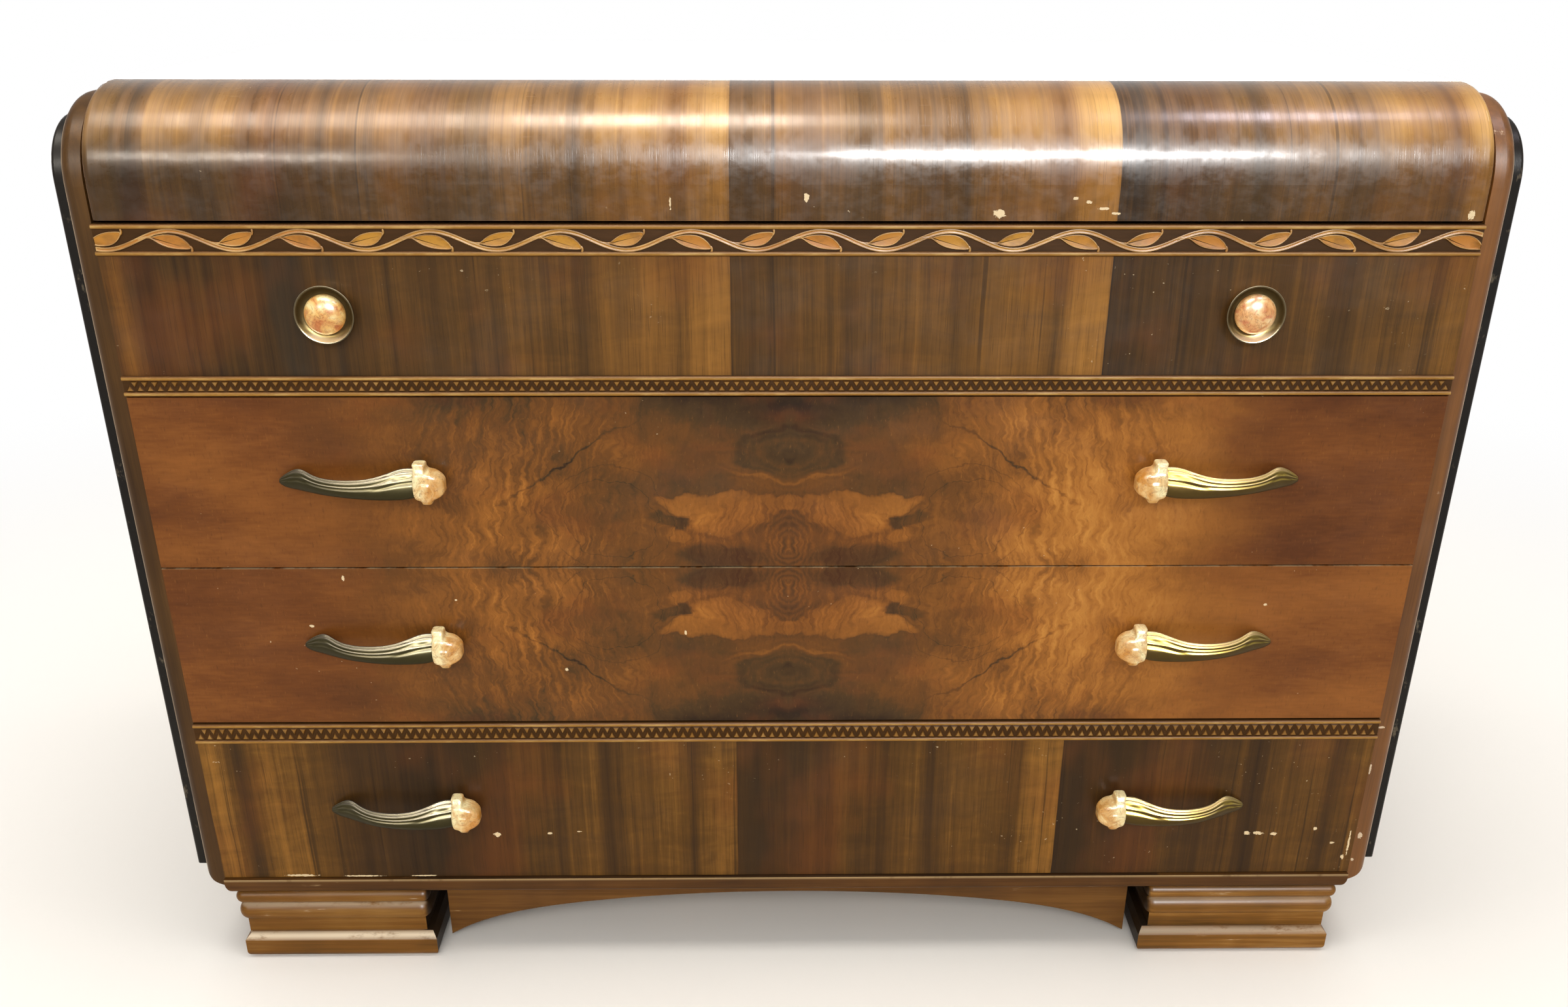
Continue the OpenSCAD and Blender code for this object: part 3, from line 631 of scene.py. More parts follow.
@dataclass(frozen=True)
class GrainedWood:
    """Solid or stained wood with grain along one axis, with pale wear, painted highlights and painted shade where
    asked.

    Ledges are heights at which a forward edge is painted pale, partly as rubbed wear and partly as painted highlight,
    each with how strongly. The arris and the black face are given by their distance from the dresser's middle.
    """

    name: str
    low: Colour
    mid: Colour
    high: Colour
    axis: str = "z"
    rough: float = 0.38
    worn: float = 0.0
    bare: Colour = "cdae7c"
    seed: float = 0.0
    arris_x: float = 0.0
    black_x: float = 0.0
    painted_end_shade: float = 0.0
    specular: float = 0.2
    worn_and_highlit_ledges: tuple[Pair, ...] = ()
    ledge_reach: float = 0.0034
    chips: tuple[Chip, ...] = ()

    def make(self) -> bpy.types.Material:
        """Build the material.

        Returns:
            The wood's material.
        """
        b = Bench(self.name)
        runs = {"x": (b.x, b.y, b.z), "y": (b.y, b.x, b.z), "z": (b.z, b.x, b.y)}
        along, across, deep = runs[self.axis]
        across = across + (b.noise(across * 5, deep * 5, along * 2.5, 2) - 0.5) * 0.006
        broad = b.noise(across * 30, deep * 30, along * 1.6 + self.seed, 3, 0.55) - 0.5
        streak = b.noise(across * 170, deep * 170, along * 3.6 + self.seed, 3, 0.6) - 0.5
        fibre = b.noise(across * 800, deep * 800, along * 22 + self.seed, 2, 0.6)
        patch = b.noise(b.x * 9, b.y * 9, b.z * 9 + self.seed, 3, 0.6) - 0.5
        level = broad * 0.7 + 0.5 + streak * 0.6 + (fibre - 0.5) * 0.35 + patch * 0.6
        colour = b.ramp(level, [(0.2, self.low), (0.5, self.mid), (0.8, self.high)])
        vessel = fibre.ease(0.56, 0.70)
        colour = b.mix(vessel * 0.3, colour, self.low)
        rag = b.noise(b.x * 300, b.y * 300, b.z * 300 + self.seed, 3, 0.7)
        bare = (fibre - 0.9).most(0.0)
        if self.worn:
            rubbed = b.noise(b.x * 14, b.y * 30, b.z * 70 + self.seed, 4, 0.7) + (streak + fibre - 0.5) * 0.30
            bare = rubbed.ease(0.74 - self.worn * 0.2, 0.86 - self.worn * 0.2) * 0.55
            # Painted highlight, partly rubbed wear: forward faces at the ledge heights are painted pale.
            ahead = (-b.facing()[1]).ease(0.15, 0.45) if self.worn_and_highlit_ledges else 0.0
            for height, strength in self.worn_and_highlit_ledges:
                edge = b.z.near(height, self.ledge_reach) * ahead
                edge = edge * b.noise(b.x * 26, b.y * 60, height * 90, 4, 0.75).ease(0.24, 0.46)
                bare = bare.most(edge * (streak * 0.6 + 0.85) * strength)
        if self.chips:
            bare = bare.most(b.flecks(b.x, b.z, self.chips, rag) * b.y.ease(0.030 + self._front(), self._front()))
        # A pale line on the arris next to the overlay: partly rubbed wear, partly a painted highlight.
        if self.arris_x:
            rim = abs(b.x).near(self.arris_x - 0.0022, 0.0014)
            rim = rim * b.noise(b.x * 9, b.y * 40, b.z * 22, 4, 0.7).ease(0.30, 0.52)
            bare = bare.most(rim * 0.70)
        # The pale mask holds rubbed wear and chips, and on the ledges and the arris also painted highlight.
        colour = b.mix(bare, colour, self.bare)
        if self.painted_end_shade:  # painted shade: dark on inward ends, and on the treads of the feet next to them, where shade falls
            ends = (b.facing()[0] * (1.0 - b.x.over(0.0) * 2.0)).ease(0.40, 0.80)
            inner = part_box("front_foot_right")[0].x
            shaded_inner_tread = abs(b.x).ease(inner + 0.016, inner + 0.011)
            ends = ends.most(shaded_inner_tread * (1.0 - (-b.facing()[1]).ease(0.05, 0.25)))
            colour = b.mix(ends * self.painted_end_shade, colour, "1e150c")
        if self.black_x:
            face = abs(b.x).ease(self.black_x - 0.0014, self.black_x - 0.0004)
            nick = b.noise(b.x * 60, b.y * 70, b.z * 34, 4, 0.7).ease(0.59, 0.69)
            colour = b.mix(face, b.mix(nick * 0.6, "15100a", "6f6350"), colour)
        dull = b.noise(b.x * 12, b.y * 12, b.z * 12 + self.seed, 4, 0.65).ease(0.4, 0.8)
        rough = dull * 0.14 + self.rough + bare * 0.15
        return b.finish(base=colour, rough=rough, normal=b.bump(fibre - vessel * 0.5, 0.0001, 0.3),
                        specular=self.specular)

    @staticmethod
    def _front() -> float:
        """Return where the drawer faces stand."""
        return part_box("drawer_1_front")[0].y


@dataclass(frozen=True)
class CarvedWood:
    """Carving coloured by how far it stands out: dark in the hollows, pale on what stands out."""

    name: str
    face: float
    depth: float
    ground: Colour = "3e2609"
    flank: Colour = "654019"
    crest: Colour = "93692c"
    pale: Colour = "bd9a5c"

    def make(self) -> bpy.types.Material:
        """Build the material.

        Returns:
            The carving's material.
        """
        b = Bench(self.name)
        out = (self.face - b.y) / self.depth
        grain = b.noise(b.x * 50, b.y * 300, b.z * 500, 3, 0.65)
        blotch = b.noise(b.x * 26, b.y * 60, b.z * 90, 4, 0.6)
        level = out + (grain - 0.5) * 0.24 + (blotch - 0.5) * 0.40
        colour = b.ramp(level, [(0.02, self.ground), (0.34, "533312"), (0.66, self.flank), (0.98, self.crest)])
        pale = b.noise(b.x * 19, 2.0, b.z * 70, 4, 0.65).ease(0.46, 0.66) * out.ease(0.80, 0.98)
        colour = b.mix(pale * 0.6, colour, self.pale)
        rough = blotch * 0.15 + 0.38
        return b.finish(base=colour, rough=rough, normal=b.bump(grain, 0.00015, 0.4), specular=0.06)


@dataclass(frozen=True)
class LeafWood:
    """The vine's leaves and stem: gold-orange hearts with pale rims."""

    name: str
    face: float
    depth: float = 0.0017

    def make(self) -> bpy.types.Material:
        """Build the material.

        Returns:
            The vine's material.
        """
        b = Bench(self.name)
        out = (self.face - b.y) / self.depth
        grain = b.noise(b.x * 140, 1.0, b.z * 700, 3, 0.65)
        hue = b.noise(b.x * 8, 4.0, b.z * 8, 2, 0.5)
        heart = b.mix(hue.ease(0.40, 0.62), "b07c24", "ac6e24")
        heart = b.mix(b.noise(b.x * 60, 8.0, b.z * 110, 3, 0.6).ease(0.45, 0.70) * 0.6, heart, "7a521c")
        colour = b.mix(out.ease(0.10, 0.45), "38230f", heart)
        rim = b.mix(b.noise(b.x * 30, 3.0, b.z * 60, 3, 0.6).ease(0.4, 0.65), "926a38", "ba9258")
        colour = b.mix(out.ease(0.80, 0.93), colour, rim)
        colour = b.mix(grain.ease(0.55, 0.8) * 0.28, colour, "5c3b1b")
        return b.finish(base=colour, rough=0.38, normal=b.bump(grain, 0.0001, 0.3), specular=0.18)


@dataclass(frozen=True)
class CastMetal:
    """Old cast or pressed metal, dark in its hollows and rubbed bright where hands touch it."""

    name: str
    deep: Colour
    body: Colour
    shine: Colour
    rough: float = 0.28
    metal: float = 1.0
    painted_light: float = 0.0

    def make(self) -> bpy.types.Material:
        """Build the material.

        Returns:
            The metal's material.
        """
        b = Bench(self.name)
        spots = b.noise(b.x * 240, b.y * 240, b.z * 240, 4, 0.7)
        patina = b.noise(b.x * 50, b.y * 70, b.z * 70, 4, 0.65)
        geometry = b.node("ShaderNodeNewGeometry")
        up = b.facing()[2] + (patina - 0.5) * 0.30
        ridge = Val(b, geometry.outputs["Pointiness"]).ease(0.49, 0.56)
        hollow = Val(b, geometry.outputs["Pointiness"]).ease(0.49, 0.45)
        colour = b.mix(patina.ease(0.36, 0.66) * 0.6, self.body, self.deep)
        colour = b.mix(ridge * 0.70, colour, self.shine)
        colour = b.mix(hollow * 0.8, colour, self.deep)
        # Painted light: the upper side is painted with the shine colour as a painted highlight, and the underside with
        # the deep colour as painted shade.
        if self.painted_light:
            colour = b.mix(up.ease(0.50, 0.86) * self.painted_light * (1.0 - hollow * 0.7), colour, self.shine)
            colour = b.mix(up.ease(0.52, 0.20) * 0.92, colour, self.deep)
        colour = b.mix(spots.ease(0.60, 0.72) * 0.35, colour, self.deep)
        rough = spots * 0.18 + self.rough - ridge * 0.08
        return b.finish(base=colour, rough=rough, metal=self.metal, normal=b.bump(spots, 0.00008, 0.4), specular=0.2)


@dataclass(frozen=True)
class MarbledResin:
    """Marbled cream resin with orange and pinkish clouds and fine dark crazing."""

    name: str
    cream: Colour = "e8d8a4"
    peach: Colour = "d6ac6c"
    orange: Colour = "c08232"
    pink: Colour = "caa068"
    vein: Colour = "7c4220"
    bulge_x: float = 0.0
    fall: float = 0.10

    def make(self) -> bpy.types.Material:
        """Build the material.

        Returns:
            The resin's material.
        """
        b = Bench(self.name)
        cloud = b.noise(b.x * 46, b.y * 46, b.z * 46, 4, 0.6, 1.6)
        second = b.noise(b.x * 66, b.y * 66, b.z * 66 + 9, 3, 0.6, 2.2)
        thread = abs(b.noise(b.x * 95, b.y * 95, b.z * 95 + 4, 3, 0.6, 1.5) - 0.5).ease(0.026, 0.0)
        if self.bulge_x:
            cloud = cloud + abs(b.x).ease(self.bulge_x + 0.006, self.bulge_x - 0.006) * 0.20 - 0.10
        # Painted light: faces turned up are painted creamier and faces turned down more orange, as if lit from above.
        cloud = cloud - b.facing()[2] * self.fall
        colour = b.ramp(cloud, [(0.34, self.cream), (0.50, self.peach), (0.66, self.orange)])
        colour = b.mix(second.ease(0.52, 0.66) * 0.60, colour, self.pink)
        colour = b.mix(thread * 0.50, colour, self.vein)
        return b.finish(base=colour, rough=0.28, normal=b.bump(second, 0.0001, 0.25), specular=0.4)


Finish = Union[StraightVeneer, BurlVeneer, GrainedWood, CarvedWood, LeafWood, CastMetal, MarbledResin]


# ---- Modelling by hand ----


class Piece:
    """One mesh piece, started from a primitive and shaped with edit-mode operators."""

    def __init__(self, name: str) -> None:
        """Name a piece before its primitive is added.

        Args:
            name: the finished object's name.
        """
        self.name = name
        self.obj: Optional[bpy.types.Object] = None

    @staticmethod
    def clear() -> None:
        """Leave nothing selected and object mode on."""
        if bpy.context.object and bpy.context.object.mode != "OBJECT":
            bpy.ops.object.mode_set(mode="OBJECT")
        bpy.ops.object.select_all(action="DESELECT")

    def begin(self, operator: Callable[..., set], **settings) -> "Piece":
        """Add the starting primitive and enter edit mode with all of it selected.

        Args:
            operator: a bpy.ops.mesh.primitive_..._add operator.
            **settings: its settings.

        Returns:
            The piece.
        """
        self.clear()
        operator(**settings)
        bpy.ops.object.transform_apply(location=True, rotation=True, scale=True)
        self.obj = bpy.context.object
        self.obj.name = self.name
        bpy.ops.object.mode_set(mode="EDIT")
        bpy.ops.mesh.select_all(action="SELECT")
        return self

    def pick(self, test: Callable[[Vector], bool], mode: str = "VERT") -> None:
        """Select the vertices or faces whose middle passes a test.

        Args:
            test: says whether a middle belongs.
            mode: VERT or FACE.
        """
        bpy.ops.mesh.select_mode(type=mode)
        bpy.ops.mesh.select_all(action="DESELECT")
        work = bmesh.from_edit_mesh(self.obj.data)
        for part in work.verts if mode == "VERT" else work.faces:
            part.select = bool(test(part.co if mode == "VERT" else part.calc_center_median()))
        work.select_flush_mode()
        bmesh.update_edit_mesh(self.obj.data)

    def push(self, x: float = 0.0, y: float = 0.0, z: float = 0.0) -> "Piece":
        """Move what is selected."""
        bpy.ops.transform.translate(value=(x, y, z))
        return self

    def scale(self, x: float = 1.0, y: float = 1.0, z: float = 1.0, about: Optional[Vector] = None) -> "Piece":
        """Scale what is selected, about a point or its own middle."""
        settings = {"value": (x, y, z)}
        if about is not None:
            settings["center_override"] = about
        bpy.ops.transform.resize(**settings)
        return self

    def turn(self, degrees: float, about: Vector) -> "Piece":
        """Lean what is selected back about a line along X, so that its top moves towards +Y."""
        bpy.ops.transform.rotate(value=math.radians(degrees), orient_axis="X", center_override=about)
        return self

    def cut_off(self, place: Vector, way: Vector) -> None:
        """Cut a finished piece flat, dropping what lies beyond a place, and close the cut.

        Args:
            place: a point of the cut.
            way: the direction of what is dropped.
        """
        self.clear()
        bpy.context.view_layer.objects.active = self.obj
        bpy.ops.object.mode_set(mode="EDIT")
        bpy.ops.mesh.select_all(action="SELECT")
        bpy.ops.mesh.bisect(plane_co=place, plane_no=way, clear_outer=True, use_fill=True)
        bpy.ops.object.mode_set(mode="OBJECT")

    def extrude(self, x: float = 0.0, y: float = 0.0, z: float = 0.0) -> "Piece":
        """Extrude what is selected along a vector."""
        bpy.ops.mesh.extrude_region_move(TRANSFORM_OT_translate={"value": (x, y, z)})
        return self

    def end(self) -> bpy.types.Object:
        """Leave edit mode, with normals outwards.

        Returns:
            The object.
        """
        bpy.ops.mesh.select_all(action="SELECT")
        bpy.ops.mesh.remove_doubles(threshold=0.000001)
        bpy.ops.mesh.normals_make_consistent(inside=False)
        bpy.ops.object.mode_set(mode="OBJECT")
        return self.obj

    def modify(self, kind: str, **settings) -> "Piece":
        """Add and apply a modifier.

        Args:
            kind: its type, such as BEVEL or SUBSURF.
            **settings: its properties.

        Returns:
            The piece.
        """
        modifier = self.obj.modifiers.new(kind.title(), kind)
        for key, value in settings.items():
            setattr(modifier, key, value)
        bpy.context.view_layer.objects.active = self.obj
        bpy.ops.object.modifier_apply(modifier=modifier.name)
        return self

    def smooth(self, angle: float = 40.0) -> "Piece":
        """Shade smooth, with edges sharper than an angle in degrees left sharp."""
        self.clear()
        self.obj.select_set(True)
        bpy.context.view_layer.objects.active = self.obj
        bpy.ops.object.shade_smooth_by_angle(angle=math.radians(angle))
        return self

    def place(self, matrix: Matrix) -> "Piece":
        """Put the piece where it belongs, with its place in its mesh."""
        self.obj.data.transform(matrix)
        if matrix.determinant() < 0:
            self.obj.data.flip_normals()
        self.obj.data.update()
        return self

    def copy(self, name: str, matrix: Matrix) -> "Piece":
        """Copy the piece, with its own mesh, through a matrix.

        Args:
            name: the copy's name.
            matrix: where it goes.

        Returns:
            The copy.
        """
        twin = Piece(name)
        twin.obj = self.obj.copy()
        twin.obj.data = self.obj.data.copy()
        twin.obj.name = name
        bpy.context.scene.collection.objects.link(twin.obj)
        return twin.place(matrix)

    def discard(self) -> None:
        """Remove a pattern piece that only its copies needed."""
        bpy.data.objects.remove(self.obj, do_unlink=True)

    @staticmethod
    def join(name: str, pieces: Sequence["Piece"]) -> "Piece":
        """Join several pieces into one.

        Args:
            name: the joined object's name.
            pieces: what is joined.

        Returns:
            The joined piece.
        """
        Piece.clear()
        for piece in pieces:
            piece.obj.select_set(True)
        bpy.context.view_layer.objects.active = pieces[0].obj
        bpy.ops.object.join()
        whole = Piece(name)
        whole.obj = bpy.context.object
        whole.obj.name = name
        return whole

    def dress(self, material: bpy.types.Material, body: str, slot: str, nodes: Sequence[str] = ()) -> None:
        """Give the piece its finish, the body it rides on and the nodes it stands for.

        Args:
            material: the finish.
            body: the CAD body.
            slot: the record's material slot; it is not used.
            nodes: CAD nodes that it replaces.
        """
        self.obj.data.materials.clear()
        self.obj.data.materials.append(material)
        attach(self.obj, body)
        if nodes:
            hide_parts(*nodes)
        log.info("piece %s: %d faces on %s", self.obj.name, len(self.obj.data.polygons), body)


def turned(name: str, profile: Sequence[Pair], segments: int = 64) -> Piece:
    """Turn a round piece about +Z by drawing one ring after another out of the last.

    Args:
        name: the piece's name.
        profile: radius and height of each ring, in millimetres, from the bottom up and in again.
        segments: number of segments round the piece.

    Returns:
        The turned piece, still open to placing.
    """
    radius, height = profile[0]
    piece = Piece(name).begin(bpy.ops.mesh.primitive_circle_add, vertices=segments, radius=radius * MM,
                              fill_type="NGON", location=(0, 0, height * MM))
    for next_radius, next_height in profile[1:]:
        piece.extrude(z=(next_height - height) * MM)
        step = next_radius / radius
        piece.scale(step, step, 1.0, Vector((0, 0, next_height * MM)))
        radius, height = next_radius, next_height
    piece.end()
    return piece


OUT_OF_FACE = Matrix.Rotation(math.pi / 2, 4, "X")


def facing(x: float, y: float, z: float) -> Matrix:
    """Turn a piece drawn upwards so that it stands out of a drawer face at a place."""
    return Matrix.Translation((x, y, z)) @ OUT_OF_FACE


@dataclass
class Knob:
    """A dished brass cup with a domed marbled stone."""

    side: Side
    cup_r: float = 24.2
    stone_r: float = 16.6
    rim: float = 10.6

    def build(self, metal: bpy.types.Material, resin: bpy.types.Material) -> None:
        """Turn the cup and the stone and set them on the first drawer.

        Args:
            metal: the cup's finish.
            resin: the stone's finish.
        """
        low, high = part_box(f"knob_cup_{self.side.word}")
        x, z = (low.x + high.x) / 2, (low.z + high.z) / 2
        r, s, h = self.cup_r, self.stone_r, self.rim
        cup = turned(f"turned_cup_{self.side.word}", [
            (13.0, 0.05), (14.0, 0.4), (15.5, 1.2), (18.5, 2.6), (21.3, 5.0), (23.1, 8.0), (r - 0.1, h - 0.9),
            (r, h - 0.45), (r - 0.15, h - 0.1), (r - 0.55, h), (r - 1.1, h - 0.25), (r - 1.7, h - 1.1),
            (22.0, h - 2.4), (20.6, h - 4.2), (18.8, h - 5.4), (s + 0.6, h - 5.9), (s - 1.2, h - 6.0), (4.0, h - 6.0),
        ])
        cup.smooth(50).place(facing(x, high.y, z))
        cup.dress(metal, "drawer_1", Metal.AGED.value, [f"knob_cup_{self.side.word}"])
        low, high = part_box(f"knob_stone_{self.side.word}")
        dome = [(s * math.cos(a), 3.2 + 9.8 * math.sin(a)) for a in
                [math.radians(k) for k in (8, 16, 25, 34, 43, 52, 61, 70, 78, 84)]]
        stone = turned(f"domed_stone_{self.side.word}", [(s - 1.0, 0.0), (s - 0.3, 0.5), (s, 1.6), (s, 3.2)] + dome
                       + [(0.35, 13.0)])
        stone.smooth(60).place(facing(x, high.y, z))
        stone.dress(resin, "drawer_1", "marbled_plastic", [f"knob_stone_{self.side.word}"])


@dataclass(frozen=True)
class PullShape:
    """Patterns of the pulls: a fluted cast bar that bows out, and a flower-like marbled end cap.

    Each ring of the bar gives its distance from the cap, how far its middle stands out of the drawer face, its rise,
    its depth, its height and how far its top leans back, in millimetres and degrees. A flute is given by its angle
    round the bar and takes a share of the radius; rings less tall than plain_under have none.
    """

    rings: tuple[tuple[float, float, float, float, float, float], ...] = (
        (-12.0, 11.0, 1.4, 10.0, 20.0, 26), (-6.0, 12.0, 1.2, 12.6, 24.6, 26), (0.0, 12.8, 1.0, 13.6, 27.0, 25),
        (7.0, 14.4, 0.9, 13.4, 27.0, 23), (14.0, 16.8, 0.4, 12.8, 24.6, 19), (22.0, 19.0, -0.6, 12.2, 21.2, 14),
        (32.0, 21.0, -1.2, 11.8, 18.2, 9), (44.0, 22.0, -0.9, 11.4, 16.0, 7), (56.0, 21.6, -0.4, 11.0, 14.8, 6),
        (68.0, 19.6, 0.2, 10.6, 14.2, 8), (77.0, 16.8, 1.0, 10.2, 14.6, 10), (84.0, 13.8, 2.0, 10.0, 16.0, 13),
        (89.5, 11.0, 3.1, 9.8, 18.0, 16), (95.0, 8.4, 3.6, 9.4, 18.6, 16), (101.0, 6.4, 2.4, 9.0, 16.0, 12),
        (106.5, 5.0, 1.0, 8.2, 12.2, 8), (110.6, 4.0, 0.2, 6.4, 7.8, 0), (113.6, 3.2, -0.2, 3.6, 3.6, 0),
    )
    flutes: tuple[float, ...] = (8.0, 42.0, 76.0, 110.0, 144.0)
    flute_depth: float = 0.20
    plain_under: float = 5.0

    def bar(self) -> Piece:
        """Draw the bar out ring by ring along +X.

        Returns:
            The fluted bar, with x from its cap end, y = 0 at the drawer face and z from the pull's height.
        """
        x0, out0, up0, deep0, tall0, lean0 = self.rings[0]
        piece = Piece("bar_pattern").begin(
            bpy.ops.mesh.primitive_circle_add, vertices=36, radius=1.0, fill_type="NGON",
            rotation=(0, math.pi / 2, 0))
        piece.scale(1.0, deep0 / 2 * MM, tall0 / 2 * MM, Vector((0, 0, 0)))
        piece.turn(lean0, Vector((0, 0, 0)))
        piece.push(x0 * MM, -out0 * MM, up0 * MM)
        for x1, out1, up1, deep1, tall1, lean1 in self.rings[1:]:
            piece.extrude((x1 - x0) * MM, -(out1 - out0) * MM, (up1 - up0) * MM)
            middle = Vector((x1 * MM, -out1 * MM, up1 * MM))
            piece.turn(-lean0, middle)
            piece.scale(1.0, deep1 / deep0, tall1 / tall0, middle)
            piece.turn(lean1, middle)
            x0, out0, up0, deep0, tall0, lean0 = x1, out1, up1, deep1, tall1, lean1
        self._press_flutes(piece)
        piece.end()
        piece.modify("SUBSURF", levels=2, render_levels=2)
        piece.smooth(60)
        return piece

    def _press_flutes(self, piece: Piece) -> None:
        """Press lengthwise flutes into the front and top of the bar.

        Args:
            piece: the bar, in edit mode.
        """
        grooves: list[tuple[Vector, Vector]] = []
        for x, out, up, _, tall, lean in self.rings:
            if tall < self.plain_under:
                continue
            middle = Vector((x * MM, -out * MM, up * MM))
            ring = [v.co.copy() for v in bmesh.from_edit_mesh(piece.obj.data).verts if abs(v.co.x - middle.x) < 1e-5]
            for flute in self.flutes:
                angle = math.radians(flute + lean)
                way = Vector((0, -math.cos(angle), math.sin(angle)))
                spot = max(ring, key=lambda co: (co - middle).normalized().dot(way))
                grooves.append((spot, (middle - spot) * self.flute_depth))
        for spot, push in grooves:
            piece.pick(lambda co, spot=spot: (co - spot).length < 1e-6)
            piece.push(0, push.y, push.z)

    def cap(self) -> Piece:
        """Box-model the end cap: a bud away from the bar, a tall petal above and a short one below.

        Returns:
            The cap, with x = 0 at the bar's end and the bud towards -X.
        """
        piece = Piece("cap_pattern").begin(bpy.ops.mesh.primitive_cube_add, size=1.0)
        piece.scale(15 * MM, 22 * MM, 24 * MM, Vector((0, 0, 0)))
        piece.push(-13.5 * MM, -14.0 * MM, 1.0 * MM)
        bpy.ops.mesh.subdivide(number_cuts=2)
        piece.pick(lambda co: co.x < -20.4 * MM, "FACE")
        piece.extrude(-5.4 * MM, -0.4 * MM, -0.4 * MM).scale(1.0, 0.84, 0.82)
        piece.extrude(-4.6 * MM, 0, -0.3 * MM).scale(1.0, 0.62, 0.62)
        piece.pick(lambda co: co.z > 12.4 * MM and co.x > -15.5 * MM, "FACE")
        piece.extrude(0.4 * MM, 1.2 * MM, 3.6 * MM).scale(0.94, 0.62, 1.0)
        piece.extrude(1.0 * MM, 0.8 * MM, 3.8 * MM).scale(1.28, 0.90, 1.0)
        piece.pick(lambda co: co.z < -10.4 * MM and co.x < -11.5 * MM, "FACE")
        piece.extrude(0.4 * MM, -0.2 * MM, -2.6 * MM).scale(0.86, 0.72, 1.0)
        piece.extrude(0.2 * MM, 0.2 * MM, -2.2 * MM).scale(0.96, 0.86, 1.0)
        piece.pick(lambda co: co.y < -24.4 * MM and abs(co.z - 1.0 * MM) < 5 * MM and co.x < -11 * MM, "FACE")
        piece.extrude(0, -2.0 * MM, 0).scale(0.8, 1.0, 0.8)
        piece.pick(lambda co: co.y < -19.0 * MM and co.x > -7.0 * MM and abs(co.z - 1.0 * MM) < 8 * MM, "VERT")
        piece.push(1.8 * MM, -0.8 * MM, 0)
        piece.end()
        piece.modify("SUBSURF", levels=3, render_levels=3)
        piece.smooth(60)
        return piece


@dataclass(frozen=True)
class Pull:
    """One pull: its bar and end cap on one side of a drawer."""

    drawer: int
    side: Side

    def build(self, bar: Piece, cap: Piece, metal: bpy.types.Material, slot: str, resin: bpy.types.Material) -> None:
        """Set a bar and a cap on their drawer.

        Args:
            bar: the bar's pattern.
            cap: the cap's pattern.
            metal: the bar's finish.
            slot: the bar's material slot.
            resin: the cap's finish.
        """
        place = f"{self.drawer}_{self.side.word}"
        low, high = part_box(f"pull_bar_{place}")
        start = low.x if self.side is Side.RIGHT else high.x
        where = Matrix.Translation((start, high.y, (low.z + high.z) / 2)) @ Matrix.Scale(self.side.value, 4, (1, 0, 0))
        body = f"drawer_{self.drawer}"
        bar.copy(f"cast_bar_{place}", where).dress(metal, body, slot, [f"pull_bar_{place}"])
        cap.copy(f"marbled_cap_{place}", where).dress(resin, body, "marbled_plastic", [f"pull_cap_{place}"])


